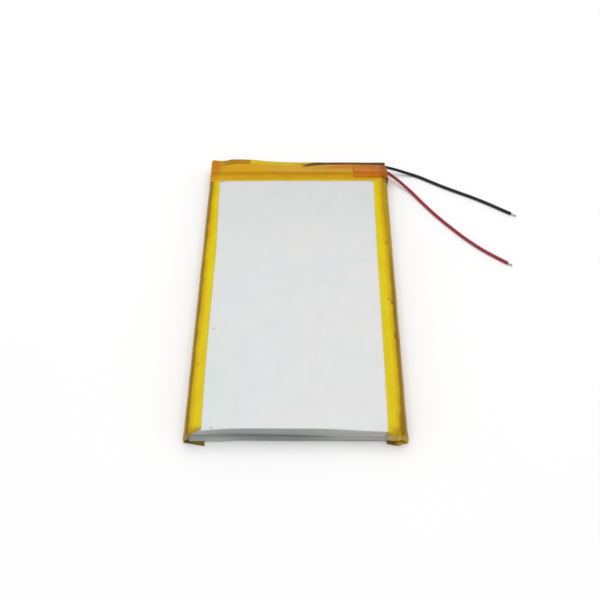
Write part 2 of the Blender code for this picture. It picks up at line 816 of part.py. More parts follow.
def build_lead(colour_name, colour, route, tip_length):
    """One lead: its insulation from the solder joint to the stripped end, and its tip."""
    curve = smooth_curve(route)
    for point in curve:
        point.z = max(point.z, LEAD_ON_FLOOR)
    points = evenly_spaced(curve, LEAD_POINT_SPACING)
    insulation = make_material(f"{colour_name}_lead", colour, 0.45)
    add_tube(f"{colour_name}_lead", points, LEAD_DIAMETER, insulation)
    direction = (points[-1] - points[-2]).normalized()
    start = points[-1] + direction * GAP
    tinned = make_material(f"{colour_name}_lead_tip", (0.70, 0.70, 0.70), 0.3, 1.0)
    tip = [start + direction * tip_length * share for share in (0.0, 0.5, 1.0)]
    add_tube(f"{colour_name}_lead_tip", tip, TIP_DIAMETER, tinned)


def main():
    clear_scene()
    build_pouch_cup()
    build_pouch_cover()
    build_core()
    build_winding_tape()
    build_positive_tab()
    build_negative_tab()
    build_tab_seal("positive_tab_seal", -TAB_X)
    build_tab_seal("negative_tab_seal", TAB_X)
    build_board()
    build_parts_on_board()
    left_reach = (-0.9, -0.5, -0.1, 0.3, 0.5, 0.6, 0.7, 0.8, 0.85, 1.1, 1.5)
    right_reach = (-0.1, 0.1, 0.4, 0.7, 0.9, 1.0, 1.1, 1.3, 1.35, 1.5, 0.9)
    build_edge_tape("left_edge_tape", -1, 25.6, 24.6, left_reach, far_reach=51.4)
    build_edge_tape("right_edge_tape", 1, 24.7, 24.5, right_reach, far_reach=48.3)
    build_terminal_tape()
    build_exit_tape()
    build_lead("black", (0.012, 0.012, 0.012), BLACK_ROUTE, BLACK_TIP_LENGTH)
    build_lead("red", (0.40, 0.02, 0.035), RED_ROUTE, RED_TIP_LENGTH)


main()
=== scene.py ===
import json
import math

import bmesh
import bpy
import numpy as np
from mathutils import Matrix, Vector, noise


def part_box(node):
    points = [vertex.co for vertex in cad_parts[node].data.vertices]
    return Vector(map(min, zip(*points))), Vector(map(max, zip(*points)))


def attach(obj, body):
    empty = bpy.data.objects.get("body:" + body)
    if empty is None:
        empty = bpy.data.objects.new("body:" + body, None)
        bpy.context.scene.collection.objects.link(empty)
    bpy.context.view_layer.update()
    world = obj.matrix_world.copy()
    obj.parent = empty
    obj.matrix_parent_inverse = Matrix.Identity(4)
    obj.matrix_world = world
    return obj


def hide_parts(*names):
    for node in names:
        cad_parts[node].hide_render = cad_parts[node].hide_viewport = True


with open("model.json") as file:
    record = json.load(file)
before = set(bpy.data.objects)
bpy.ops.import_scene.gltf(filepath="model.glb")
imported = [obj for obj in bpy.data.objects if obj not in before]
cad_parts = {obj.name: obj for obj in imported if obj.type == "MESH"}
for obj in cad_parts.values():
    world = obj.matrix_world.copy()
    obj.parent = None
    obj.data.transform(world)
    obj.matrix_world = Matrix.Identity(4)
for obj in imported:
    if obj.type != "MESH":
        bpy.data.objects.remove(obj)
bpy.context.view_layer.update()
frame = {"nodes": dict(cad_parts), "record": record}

# Everything below is in millimetres until MM scales it, in the frame of the CAD part:
# +X across the width, +Y along the length to the terminal end, +Z up.
MM = 0.001


def box_mm(node):
    low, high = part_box(node)
    return Vector(low) / MM, Vector(high) / MM


cup_low, cup_high = box_mm("pouch_cup")
cover_low, cover_high = box_mm("pouch_cover")
band_low, band_high = box_mm("terminal_tape")
patch_low, patch_high = box_mm("exit_tape")

# ---------------------------------------------------------------- camera

CAMERA_PLACE = (0.0030, -0.1513, 0.1955)
CAMERA_PITCH = math.radians(52.93)  # below the horizon
CAMERA_YAW = math.radians(-0.83)
CAMERA_ROLL = math.radians(-0.58)
LENS = 48.0

camera_data = bpy.data.cameras.new("camera")
camera_data.lens = LENS
camera_data.sensor_width = 36.0
camera_data.clip_start = 0.001
camera = bpy.data.objects.new("camera", camera_data)
bpy.context.scene.collection.objects.link(camera)
bpy.context.scene.camera = camera
forward = Vector(
    (
        math.sin(CAMERA_YAW) * math.cos(CAMERA_PITCH),
        math.cos(CAMERA_YAW) * math.cos(CAMERA_PITCH),
        -math.sin(CAMERA_PITCH),
    )
)
level_right = Vector((math.cos(CAMERA_YAW), -math.sin(CAMERA_YAW), 0.0))
level_up = level_right.cross(forward)
camera_right = math.cos(CAMERA_ROLL) * level_right + math.sin(CAMERA_ROLL) * level_up
camera_up = -math.sin(CAMERA_ROLL) * level_right + math.cos(CAMERA_ROLL) * level_up
turn = Matrix((camera_right, camera_up, -forward)).transposed().to_4x4()
camera.matrix_world = Matrix.Translation(CAMERA_PLACE) @ turn

# ---------------------------------------------------------------- helpers


def ease(low, high, value):
    """From 0 at low to 1 at high, smoothly, and held beyond. low may be the larger."""
    t = np.clip((np.asarray(value, dtype=float) - low) / (high - low), 0.0, 1.0)
    return t * t * (3.0 - 2.0 * t)


def bell(value, middle, width):
    return np.exp(-(((np.asarray(value, dtype=float) - middle) / width) ** 2))


def wander(points, scale, seed):
    """Smooth noise from about -1 to 1 at points in millimetres, scale is the size of a lump."""
    shift = Vector((7.3 * seed, 3.1 * seed, 5.7 * seed))
    flat = np.asarray(points, dtype=float).reshape(-1, 3)
    found = [noise.noise(Vector(point) / scale + shift) for point in flat]
    return np.array(found).reshape(np.asarray(points).shape[:-1])


def linear(red, green, blue):
    """A display colour, each channel from 0 to 255, as scene-linear numbers."""
    shares = np.array([red, green, blue], dtype=float) / 255.0
    return np.where(shares <= 0.04045, shares / 12.92, ((shares + 0.055) / 1.055) ** 2.4)


def link_piece(name, data, slot, node):
    """A new piece from mesh or curve data, with its slot's material, attached to the root body; the CAD
    node it stands for is hidden.
    """
    piece = bpy.data.objects.new(name, data)
    bpy.context.scene.collection.objects.link(piece)
    data.materials.append(looks[slot])
    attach(piece, "root")
    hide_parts(node)
    return piece


def thin_solid(name, points, faces, thickness, tints=None):
    """Mesh data of a closed sheet: a surface, its copy one thickness inside, and a rim."""
    bm = bmesh.new()
    outer = [bm.verts.new(Vector(point)) for point in points]
    for face in faces:
        bm.faces.new([outer[i] for i in face])
    bm.normal_update()
    inner = [bm.verts.new(vert.co - vert.normal * thickness) for vert in outer]
    twin = dict(zip(outer, inner))
    rim = []
    for edge in bm.edges:
        if len(edge.link_faces) == 1:
            loop = edge.link_loops[0]
            rim.append((loop.vert, loop.link_loop_next.vert))
    for face in list(bm.faces):
        bm.faces.new([twin[vert] for vert in reversed(face.verts)])
    for first, second in rim:
        bm.faces.new((second, first, twin[first], twin[second]))
    return finish_mesh(name, bm, tints)


def finish_mesh(name, bm, tints=None, sharp_degrees=50.0):
    """Mesh data in metres. tints, where given, are the colours of its first points."""
    bm.normal_update()
    bmesh.ops.scale(bm, vec=(MM, MM, MM), verts=bm.verts)
    data = bpy.data.meshes.new(name)
    bm.to_mesh(data)
    bm.free()
    data.shade_smooth()
    data.set_sharp_from_angle(angle=math.radians(sharp_degrees))
    if tints is not None:
        repeats = len(data.vertices) // len(tints)
        colours = np.ones((len(data.vertices), 4))
        colours[:, :3] = np.tile(np.asarray(tints), (repeats, 1))
        layer = data.color_attributes.new("tint", "FLOAT_COLOR", "POINT")
        layer.data.foreach_set("color", colours.ravel())
    return data


def grid_faces(rows, columns, flip=False):
    faces = []
    for i in range(rows - 1):
        for j in range(columns - 1):
            a = i * columns + j
            quad = (a, a + 1, a + columns + 1, a + columns)
            faces.append(quad[::-1] if flip else quad)
    return faces


def resample(path, count):
    """count points along a polyline, at equal steps."""
    path = np.asarray(path, dtype=float)
    steps = np.linalg.norm(np.diff(path, axis=0), axis=1)
    reach = np.concatenate(([0.0], np.cumsum(steps)))
    wanted = np.linspace(0.0, reach[-1], count)
    return np.column_stack([np.interp(wanted, reach, column) for column in path.T])


def smooth_curve(points, samples=16):
    """A Catmull-Rom curve through the points, closely sampled."""
    knots = [Vector(point) for point in points]
    padded = [2 * knots[0] - knots[1], *knots, 2 * knots[-1] - knots[-2]]
    curve = []
    for a, b, c, d in zip(padded, padded[1:], padded[2:], padded[3:]):
        square = 2 * a - 5 * b + 4 * c - d
        cube = 3 * b - a - 3 * c + d
        for t in (i / samples for i in range(samples)):
            curve.append(0.5 * (2 * b + (c - a) * t + square * t**2 + cube * t**3))
    return [*curve, knots[-1]]


def stations(*stretches):
    """Places along stretches that meet, each from a start to an end with a number of places."""
    parts = [np.linspace(*stretch) for stretch in stretches]
    return np.concatenate([part[:-1] for part in parts[:-1]] + parts[-1:])


def paint(colours, *layers):
    """Lay colours, each with its weight at every point, one after another over the first ones."""
    for colour, weight in layers:
        colours = colours * (1 - weight[..., None]) + colour * weight[..., None]
    return colours


# ---------------------------------------------------------------- materials


class Nodes:
    """Short ways to add and join the nodes of one material."""

    def __init__(self, name):
        self.material = bpy.data.materials.new(name)
        self.material.use_nodes = True
        self.tree = self.material.node_tree
        self.shader = self.tree.nodes["Principled BSDF"]
        self.place = self.add("TexCoord").outputs["Object"]

    def add(self, kind, **settings):
        node = self.tree.nodes.new(f"ShaderNode{kind}")
        for key, value in settings.items():
            setattr(node, key, value)
        return node

    def join(self, output, target):
        self.tree.links.new(output, target)

    def value(self, name, number):
        self.shader.inputs[name].default_value = number

    def noise(self, size_mm, detail=3.0, roughness=0.5, stretch=(1.0, 1.0, 1.0), warp=0.0):
        """Noise with lumps of that size, drawn out along the axes where stretch is over 1."""
        mapping = self.add("Mapping")
        mapping.inputs["Scale"].default_value = [1.0 / share for share in stretch]
        self.join(self.place, mapping.inputs["Vector"])
        node = self.add("TexNoise")
        scale = 1.0 / (size_mm * MM)
        settings = {"Scale": scale, "Detail": detail, "Roughness": roughness, "Distortion": warp}
        for key, number in settings.items():
            node.inputs[key].default_value = number
        self.join(mapping.outputs["Vector"], node.inputs["Vector"])
        return node.outputs["Fac"]

    def span(self, source, low, high, new_low=0.0, new_high=1.0):
        """The source's range from low to high, mapped to the new range and held there."""
        node = self.add("MapRange")
        for i, number in enumerate((low, high, new_low, new_high), start=1):
            node.inputs[i].default_value = number
        self.join(source, node.inputs["Value"])
        return node.outputs["Result"]

    def ramp(self, source, *stops):
        node = self.add("ValToRGB")
        ramp = node.color_ramp
        while len(ramp.elements) < len(stops):
            ramp.elements.new(0.5)
        for element, (place, colour) in zip(ramp.elements, stops):
            element.position = place
            element.color = (*colour, 1.0)
        self.join(source, node.inputs["Fac"])
        return node.outputs["Color"]

    def mix(self, factor, first, second, blend="MIX"):
        """Mix of two colours, each an output or three numbers."""
        node = self.add("Mix", data_type="RGBA", blend_type=blend)
        for source, target in ((factor, 0), (first, 6), (second, 7)):
            if isinstance(source, bpy.types.NodeSocket):
                self.join(source, node.inputs[target])
            elif target == 0:
                node.inputs[0].default_value = source
            else:
                node.inputs[target].default_value = (*source, 1.0)
        return node.outputs[2]

    def math(self, operation, first, second=0.0):
        node = self.add("Math", operation=operation)
        for i, source in enumerate((first, second)):
            if isinstance(source, bpy.types.NodeSocket):
                self.join(source, node.inputs[i])
            else:
                node.inputs[i].default_value = source
        return node.outputs[0]

    def spot(self, centre, size, ragged=0.5):
        """1 inside a small ragged patch round a point, in millimetres, and 0 outside."""
        shift, scale = [value * MM for value in centre], [1.0 / (value * MM) for value in size]
        away = self.place
        for operation, numbers in (("SUBTRACT", shift), ("MULTIPLY", scale)):
            node = self.add("VectorMath", operation=operation)
            self.join(away, node.inputs[0])
            node.inputs[1].default_value = numbers
            away = node.outputs[0]
        length = self.add("VectorMath", operation="LENGTH")
        self.join(away, length.inputs[0])
        edge = self.span(self.noise(min(size) * 0.8, detail=3.0), 0.3, 0.7, -ragged, ragged)
        return self.span(self.math("ADD", length.outputs["Value"], edge), 0.5, 1.1, 1.0, 0.0)

    def bump(self, height, depth_mm, strength=1.0, under=None):
        node = self.add("Bump")
        node.inputs["Distance"].default_value = depth_mm * MM
        node.inputs["Strength"].default_value = strength
        self.join(height, node.inputs["Height"])
        if under is not None:
            self.join(under, node.inputs["Normal"])
        return node.outputs["Normal"]

    def finish(self, colour, roughness=None, normal=None):
        self.join(colour, self.shader.inputs["Base Color"])
        if roughness is not None:
            self.join(roughness, self.shader.inputs["Roughness"])
        if normal is not None:
            self.join(normal, self.shader.inputs["Normal"])
        return self.material


def grained(
    name,
    colour,
    spread=0.12,
    size_mm=4.0,
    rough=(0.4, 0.55),
    metallic=0.0,
    grain_mm=0.15,
    grain_depth_mm=0.01,
    stretch=(1.0, 1.0, 1.0),
):
    """A surface whose colour and roughness drift in lumps, with a fine grain."""
    n = Nodes(name)
    n.value("Metallic", metallic)
    base = np.asarray(colour, dtype=float)
    lumps = n.noise(size_mm, detail=4.0, stretch=stretch)
    tone = n.ramp(lumps, (0.3, base * (1.0 - spread)), (0.7, np.minimum(base * (1.0 + spread), 1.0)))
    fine = n.noise(grain_mm, detail=3.0, roughness=0.6, stretch=stretch)
    tone = n.mix(n.span(fine, 0.3, 0.7, 0.0, 0.25), tone, base * (1.0 - 2.0 * spread))
    gloss = n.span(n.noise(size_mm * 0.6, stretch=stretch), 0.3, 0.7, *rough)
    return n.finish(tone, gloss, n.bump(fine, grain_depth_mm))


WHITE = (1.0, 1.0, 1.0)
STREAK_SHADE = (0.9, 0.85, 0.72)
SMUDGE = linear(120, 88, 28)
TAPE_MARK = linear(122, 84, 16)
PANEL_SPECK = (0.22, 0.22, 0.21)

# Small marks on the top: x, y, their half sizes along both, and how strong they are.
PANEL_SPECKS = ((-22.4, -50.6, 0.5, 0.35, 0.5), (-23.9, -18.6, 0.5, 0.3, 0.5))
TAPE_MARKS = (
    (27.9, 14.5, 0.4, 1.1, 0.55),
    (28.1, 4.6, 0.3, 0.7, 0.4),
    (28.2, -9.0, 0.55, 1.3, 0.8),
    (27.3, -7.6, 0.7, 0.35, 0.6),
    (28.6, -13.5, 0.3, 3.2, 0.45),
    (28.3, -21.0, 0.5, 1.4, 0.75),
    (-28.2, -0.6, 0.35, 0.9, 0.5),
    (-28.1, -4.8, 0.3, 0.6, 0.4),
    (-27.9, 11.5, 0.3, 0.5, 0.4),
    (-27.6, -30.8, 0.35, 0.5, 0.45),
)


def laminate():
    """Satin light grey nylon face of the pouch film, over aluminium."""
    n = Nodes("pouch_laminate")
    n.value("Metallic", 0.1)
    n.value("Specular IOR Level", 0.25)
    tint = n.add("Attribute", attribute_name="tint").outputs["Color"]
    cloud = n.noise(16.0, detail=3.0, roughness=0.45)
    patch = n.noise(5.0, detail=2.0, roughness=0.5)
    warm = n.ramp(cloud, (0.35, (0.965, 0.985, 0.985)), (0.65, (1.0, 0.99, 0.985)))
    tone = n.mix(1.0, tint, warm, "MULTIPLY")
    faint = n.ramp(patch, (0.35, (0.975, 0.975, 0.98)), (0.6, WHITE))
    tone = n.mix(1.0, tone, faint, "MULTIPLY")
    for x, y, size_x, size_y, strength in PANEL_SPECKS:
        spot = n.spot((x, y, 6.1), (size_x, size_y, 0.5))
        tone = n.mix(n.math("MULTIPLY", spot, strength), tone, PANEL_SPECK)
    gloss = n.span(n.noise(7.0, detail=2.0), 0.3, 0.7, 0.42, 0.5)
    fine = n.noise(0.12, detail=2.0, roughness=0.6)
    soft = n.noise(3.2, detail=2.0)
    normal = n.bump(soft, 0.035, 0.35)
    scuffs = n.span(n.noise(1.5, detail=3.0, stretch=(1.6, 1.0, 1.0), warp=0.8), 0.58, 0.72)
    normal = n.bump(scuffs, 0.012, 0.5, under=normal)
    normal = n.bump(fine, 0.004, 0.35, under=normal)
    return n.finish(tone, gloss, normal)


def tape_film(name, grain_stretch, marks=()):
    """Glossy polyimide film. Its tint shows what lies under each place of the clear film, with painted
    shade and painted light laid into it in places.
    """
    n = Nodes(name)
    n.value("Coat Weight", 0.04)
    n.value("Coat Roughness", 0.12)
    n.value("Specular IOR Level", 0.1)
    tint = n.add("Attribute", attribute_name="tint").outputs["Color"]
    # Streaks along the grain are painted reflection: lighter and darker bands for soft reflections off
    # the film's wrinkles.
    streak = n.noise(3.0, detail=4.0, roughness=0.6, stretch=grain_stretch, warp=0.4)
    tone = n.mix(1.0, tint, n.ramp(streak, (0.3, STREAK_SHADE), (0.68, WHITE)), "MULTIPLY")
    blotch = n.noise(1.4, detail=3.0, roughness=0.7)
    smudge = n.span(blotch, 0.66, 0.8, 0.0, 0.3)
    tone = n.mix(smudge, tone, SMUDGE)
    for x, y, size_x, size_y, strength in marks:
        spot = n.spot((x, y, 5.9), (size_x, size_y, 1.0))
        tone = n.mix(n.math("MULTIPLY", spot, strength), tone, TAPE_MARK)
    gloss = n.span(n.noise(2.2, detail=3.0), 0.3, 0.7, 0.24, 0.4)
    ripple = n.noise(1.1, detail=3.0, roughness=0.55, stretch=grain_stretch, warp=0.6)
    fine = n.noise(0.16, detail=2.0)
    normal = n.bump(ripple, 0.05, 0.5)
    normal = n.bump(fine, 0.004, 0.4, under=normal)
    return n.finish(tone, gloss, normal)


def insulation(name, colour, worn):
    """Soft extruded insulation, with faint lengthwise flow marks and a dusty bloom."""
    n = Nodes(name)
    n.value("Specular IOR Level", 0.3)
    base = np.asarray(colour)
    flow = n.noise(1.6, detail=4.0, roughness=0.6, warp=0.5)
    tone = n.ramp(flow, (0.3, base * 0.8), (0.7, base * 1.2))
    bloom = n.noise(0.5, detail=3.0, roughness=0.7)
    tone = n.mix(n.span(bloom, 0.5, 0.75, 0.0, 0.25), tone, worn)
    gloss = n.span(n.noise(1.2, detail=2.0), 0.3, 0.7, 0.34, 0.5)
    normal = n.bump(n.noise(0.3, detail=2.0), 0.012, 0.5)
    return n.finish(tone, gloss, normal)


def tinned():
    """Tinned copper strand: bright, with copper showing through in places."""
    n = Nodes("tinned_wire")
    n.value("Metallic", 0.9)
    worn = n.span(n.noise(0.5, detail=3.0), 0.5, 0.7, 0.0, 0.55)
    tone = n.mix(worn, linear(196, 192, 184), linear(168, 120, 88))
    gloss = n.span(n.noise(0.25, detail=3.0), 0.3, 0.7, 0.25, 0.45)
    return n.finish(tone, gloss, n.bump(n.noise(0.1, detail=2.0), 0.006, 0.5))


# The material of each slot of the record.
looks = {
    "pouch_laminate": laminate(),
    "yellow_tape": tape_film("yellow_tape", (1.0, 3.0, 1.0), TAPE_MARKS),
    "amber_tape": tape_film("amber_tape", (4.0, 1.0, 1.0)),
    "orange_tape": tape_film("orange_tape", (2.5, 1.0, 1.0)),
    "black_insulation": insulation("black_insulation", linear(20, 20, 20), linear(50, 50, 49)),
    "red_insulation": insulation("red_insulation", linear(150, 38, 52), linear(178, 88, 98)),
    "tinned_wire": tinned(),
}

# ---------------------------------------------------------------- leads

LEAD_DIAMETER = 1.0
LEAD_ON_FLOOR = LEAD_DIAMETER / 2 + 0.03
BLACK_EXIT = (30.1, 51.3, 3.10)
RED_EXIT = (30.1, 49.3, 2.80)
# Each lead's centreline: raised points from its solder joint to the floor, then points on the floor.
BLACK_RAISED = [
    (2.1, 50.3, 3.05), (5.5, 51.4, 3.20), (9.5, 52.0, 3.50), (15.0, 52.15, 3.55), (22.0, 52.1, 3.50),
    (27.0, 51.7, 3.35), BLACK_EXIT, (33.5, 51.1, 2.20), (37.0, 50.7, 1.15),
]
BLACK_LYING = [
    (40.7, 49.7), (44.3, 47.6), (48.9, 44.8), (53.8, 42.1),
    (58.7, 39.5), (63.4, 36.7), (67.5, 34.0), (70.6, 32.0),
]
RED_RAISED = [
    (11.1, 49.4, 3.00), (14.5, 49.6, 3.35), (18.5, 49.7, 3.45), (23.0, 49.7, 3.40),
    (27.0, 49.6, 3.15), RED_EXIT, (34.2, 46.1, 1.80), (38.2, 41.9, 0.85),
]
RED_LYING = [
    (41.4, 37.4), (44.4, 33.0), (47.4, 29.0), (50.4, 25.4), (53.3, 22.0),
    (56.2, 19.0), (59.2, 16.2), (62.2, 13.8), (66.4, 10.7),
]
TIP_LENGTH = {"black": 1.9, "red": 1.6}
STRAND_DIAMETER = 0.15
STRAND_CIRCLE = 0.15  # radius of the circle on which the outer strands lie
STRAND_STEPS = 14
STRAND_SIDES = 8
STRAND_SEATING = 0.5  # how far the strands start inside the insulation
TWIST_LENGTH = 2.6
LEAD_STEP = 0.7


def lead_line(raised, lying):
    """A lead's centreline and its length, over raised points and then along the floor."""
    curve = smooth_curve(raised + [(x, y, LEAD_ON_FLOOR) for x, y in lying])
    for point in curve:
        point.z = max(point.z, LEAD_ON_FLOOR)
    length = sum((b - a).length for a, b in zip(curve, curve[1:]))
    return resample([tuple(point) for point in curve], round(length / LEAD_STEP)), length


def add_strands(name, start, direction, length, node, seed):
    """Seven tinned strands, twisted, each a closed tube with a slightly different end."""
    bm = bmesh.new()
    side = direction.cross(Vector((0.0, 0.0, 1.0))).normalized()
    up = side.cross(direction)
    for strand in range(7):
        radius = 0.0 if strand == 0 else STRAND_CIRCLE
        reach = length * (1.0 - 0.12 * ((strand * 3 + seed) % 4) / 3)
        rings = []
        for i in range(STRAND_STEPS + 1):
            along = reach * i / STRAND_STEPS
            angle = strand * math.pi / 3 + 2 * math.pi * along / TWIST_LENGTH
            spread = radius * (1.0 + 0.35 * (along / length) ** 3)
            middle = start + direction * along
            middle = middle + side * (spread * math.cos(angle)) + up * (spread * math.sin(angle))
            ring = []
            for k in range(STRAND_SIDES):
                a = 2 * math.pi * k / STRAND_SIDES
                arm = side * math.cos(a) + up * math.sin(a)
                ring.append(bm.verts.new(middle + arm * (STRAND_DIAMETER / 2)))
            rings.append(ring)
        for first, second in zip(rings, rings[1:]):
            for k in range(STRAND_SIDES):
                j = (k + 1) % STRAND_SIDES
                bm.faces.new((first[k], first[j], second[j], second[k]))
        bm.faces.new(rings[0][::-1])
        bm.faces.new(rings[-1])
    bmesh.ops.recalc_face_normals(bm, faces=bm.faces)
    return link_piece(name, finish_mesh(name, bm), "tinned_wire", node)


def add_lead(colour_name, raised, lying):
    line, length = lead_line(raised, lying)
    name = f"{colour_name}_lead_wire"
    data = bpy.data.curves.new(name, "CURVE")
    data.dimensions = "3D"
    data.bevel_depth = LEAD_DIAMETER * MM / 2
    data.bevel_resolution = 5
    data.use_fill_caps = True
    spline = data.splines.new("POLY")
    spline.points.add(len(line) - 1)
    for target, point in zip(spline.points, line):
        target.co = (*(point * MM), 1.0)
    spline.use_smooth = True
    lead = link_piece(name, data, f"{colour_name}_insulation", f"{colour_name}_lead")
    end, before = Vector(line[-1]), Vector(line[-2])
    direction = (end - before).normalized()
    tip = add_strands(
        f"{colour_name}_lead_strands",
        end - direction * STRAND_SEATING,
        direction,
        TIP_LENGTH[colour_name] + STRAND_SEATING,
        f"{colour_name}_lead_tip",
        seed=len(colour_name),
    )
    return line


black_line = add_lead("black", BLACK_RAISED, BLACK_LYING)
red_line = add_lead("red", RED_RAISED, RED_LYING)

# ---------------------------------------------------------------- pouch

FILM = 0.15
TAPE = 0.10
GAP = 0.05
PLATEAU_TOP = cup_high.z
PLATEAU_HALF_WIDTH = 18.0
SHOULDER_HALF_WIDTH = 28.3
CROWN_DROP = 0.35
BODY_FAR = 46.2  # where the full height ends and the terrace begins
POUCH_NEAR = cover_low.y
CREASE_Z = 2.45  # where the upper and the lower half of the plain end meet
SEAL_TOP = cover_high.z - 0.8  # top of the cover's sides, hidden under the edge tapes
CUP_HALF_WIDTH = 29.4
COVER_HALF_WIDTH = CUP_HALF_WIDTH + 0.17
CORNER = 1.3  # radius of the cup's corners in plan
COVER_CORNER = CORNER + 0.15
TERRACE = 5.3
TERRACE_TOP = 0.9
CUP_FOOT = cup_low.z
COVER_FLOOR = 0.15  # underside of the cover between the tapes' lower legs and the floor
CELLS_ACROSS, CELLS_ALONG, CORNER_CELLS = 64, 96, 5


def pouch_top(x, y):
    """Height of the pouch's top face, crowned across the width, with very slight dents."""
    x = np.asarray(x, dtype=float)
    y = np.asarray(y, dtype=float)
    beyond = np.clip(np.abs(x) - PLATEAU_HALF_WIDTH, 0.0, SHOULDER_HALF_WIDTH - PLATEAU_HALF_WIDTH)
    share = beyond / (SHOULDER_HALF_WIDTH - PLATEAU_HALF_WIDTH)
    fall = CROWN_DROP * share**1.7
    end = 0.75 * ease(4.0, 29.0, x) ** 1.3 + 0.45 * ease(-17.0, -29.0, x)
    fall = fall + end * ease(POUCH_NEAR + 3.6, POUCH_NEAR + 0.2, y)
    return PLATEAU_TOP - fall


def plan_outline(half_width, near, far, radius):
    """Points and outward directions round a rounded rectangle, as four sides.

    Each side runs from the middle of one corner to the middle of the next:
    near (left to right), right (near to far), far (left to right), left (near to far).
    """
    left, right = -half_width + radius, half_width - radius
    low, high = near + radius, far - radius

    def side(first, last, start, middle, end, cells):
        """Half of the corner round first, a straight line and half of the corner round last."""
        first, last = np.array(first), np.array(last)
        halves = ((start, middle), (middle, end))
        turns = [np.radians(np.linspace(*half, CORNER_CELLS + 1)) for half in halves]
        arcs = [np.column_stack((np.cos(turn), np.sin(turn))) for turn in turns]
        out = np.round(arcs[1][0])
        share = np.linspace(0.0, 1.0, cells + 1)[1:, None]
        line = (1.0 - share) * (first + radius * out) + share * (last + radius * out)
        points = (first + radius * arcs[0], line, last + radius * arcs[1][1:])
        return np.concatenate(points), np.concatenate((arcs[0], np.tile(out, (cells, 1)), arcs[1][1:]))

    return (
        side((left, low), (right, low), 225, 270, 315, CELLS_ACROSS),
        side((right, low), (right, high), -45, 0, 45, CELLS_ALONG),
        side((left, high), (right, high), 135, 90, 45, CELLS_ACROSS),
        side((left, low), (left, high), 225, 180, 135, CELLS_ALONG),
    )


def lid_and_skirt(sides, place_ring, ring_count, lid_height, flip=False):
    """Points and faces of a field closed over a ring of four sides, and rings outside it.

    place_ring(k, points, outs) gives the three coordinates of ring k's stations.
    """
    near, right, far, left = [place_ring(0, *side) for side in sides]
    columns, rows = len(near), len(right)
    u = np.linspace(0.0, 1.0, columns)[None, :, None]
    v = np.linspace(0.0, 1.0, rows)[:, None, None]
    field = (1 - v) * near[None] + v * far[None] + (1 - u) * left[:, None] + u * right[:, None]
    near_corners = (1 - u) * (1 - v) * near[0] + u * (1 - v) * near[-1]
    field = field - (near_corners + (1 - u) * v * far[0] + u * v * far[-1])
    inside = (slice(1, -1), slice(1, -1))
    field[inside + (2,)] = lid_height(field[inside + (0,)], field[inside + (1,)])
    points = list(field.reshape(-1, 3))
    faces = grid_faces(rows, columns)

    def walk(near_side, right_side, far_side, left_side):
        """Once round the four sides, without repeating their corners."""
        return np.concatenate((near_side, right_side[1:], far_side[-2::-1], left_side[-2:0:-1]))

    numbers = np.arange(rows * columns).reshape(rows, columns)
    loop = [int(i) for i in walk(numbers[0], numbers[:, -1], numbers[-1], numbers[:, 0])]
    ring_points = walk(*(side[0] for side in sides))
    ring_outs = walk(*(side[1] for side in sides))
    previous = loop
    for k in range(1, ring_count):
        first = len(points)
        points += list(place_ring(k, ring_points, ring_outs))
        current = list(range(first, first + len(loop)))
        for i in range(len(loop)):
            j = (i + 1) % len(loop)
            faces.append((previous[i], current[i], current[j], previous[j]))
        previous = current
    if flip:
        faces = [face[::-1] for face in faces]
    return np.array(points), faces


def side_weights(outs):
    """How far each station faces the plain end, the terminal end and the sides."""
    return (
        np.where(outs[:, 1] < 0, outs[:, 1] ** 2, 0.0),
        np.where(outs[:, 1] > 0, outs[:, 1] ** 2, 0.0),
        outs[:, 0] ** 2,
    )


def crease_depth(x):
    """How deep the plain end is pinched in at its crease: most left of the middle."""
    dent = 0.46 * bell(x, -7.0, 13.0) + 0.10 * bell(x, 12.0, 6.0)
    return dent * ease(28.0, 20.0, np.abs(x)) + 0.02


def crease_line(x):
    """Height of the crease, which wanders a little across the width."""
    x = np.asarray(x, dtype=float)
    bow = 0.35 * bell(x, -22.0, 7.0) - 0.2 * bell(x, 3.0, 8.0)
    return CREASE_Z + bow - 0.012 * (x + 5.0) + 0.10 * np.sin(x * 0.31 + 0.6)


def end_lean(x, height):
    """The upper half of the plain end leans back, most in the middle of its width."""
    return 0.45 * ease(26.0, 8.0, np.abs(np.asarray(x) + 4.0)) * ease(3.2, 6.1, height)


CUP_ARC = 7
CUP_WALL = 18
CUP_FLANGE = 4
CUP_RINGS = CUP_ARC + CUP_WALL + CUP_FLANGE


def cup_ring(k, points, outs):
    near, far, side = side_weights(outs)
    radius = 0.38 * near + 0.9 * far + 1.1 * side
    start = points - outs * radius[:, None]
    top = pouch_top(start[:, 0], start[:, 1])
    terrace_foot = TERRACE_TOP * far + CUP_FOOT * (1 - far)
    if k < CUP_ARC:
        angle = math.pi / 2 * (1 - k / (CUP_ARC - 1))
        offset = radius * (math.cos(angle) - 1.0)
        height = top - radius * (1.0 - math.sin(angle))
        offset = offset - end_lean(points[:, 0], height) * near
    elif k < CUP_ARC + CUP_WALL:
        share = (k - CUP_ARC + 1) / CUP_WALL
        height = (top - radius) * (1 - share) + terrace_foot * share
        x = points[:, 0]
        crease = crease_line(x)
        pinch = crease_depth(x) * ease(crease + 1.9, crease + 0.1, height)
        tuck = 0.24 * ease(crease + 0.35, crease - 0.1, height)
        belly = 0.08 * bell(height, crease + 1.7, 0.9) * ease(27.0, 20.0, np.abs(x))
        offset = -near * (np.maximum(pinch, tuck) + np.where(height < crease, pinch * 0.3, 0.0))
        offset = offset + near * belly - end_lean(x, height) * near
    else:
        share = (k - CUP_ARC - CUP_WALL + 1) / CUP_FLANGE
        height = terrace_foot
        offset = -0.2 * share * (1 - far) - 0.24 * near
    moved = points + outs * np.asarray(offset)[:, None]
    if k >= CUP_ARC + CUP_WALL:
        moved[:, 1] += TERRACE * share * far
    return np.column_stack((moved, np.broadcast_to(height, len(moved))))


COVER_ARC = 5
COVER_WALL = 12
COVER_RINGS = COVER_ARC + COVER_WALL + 1


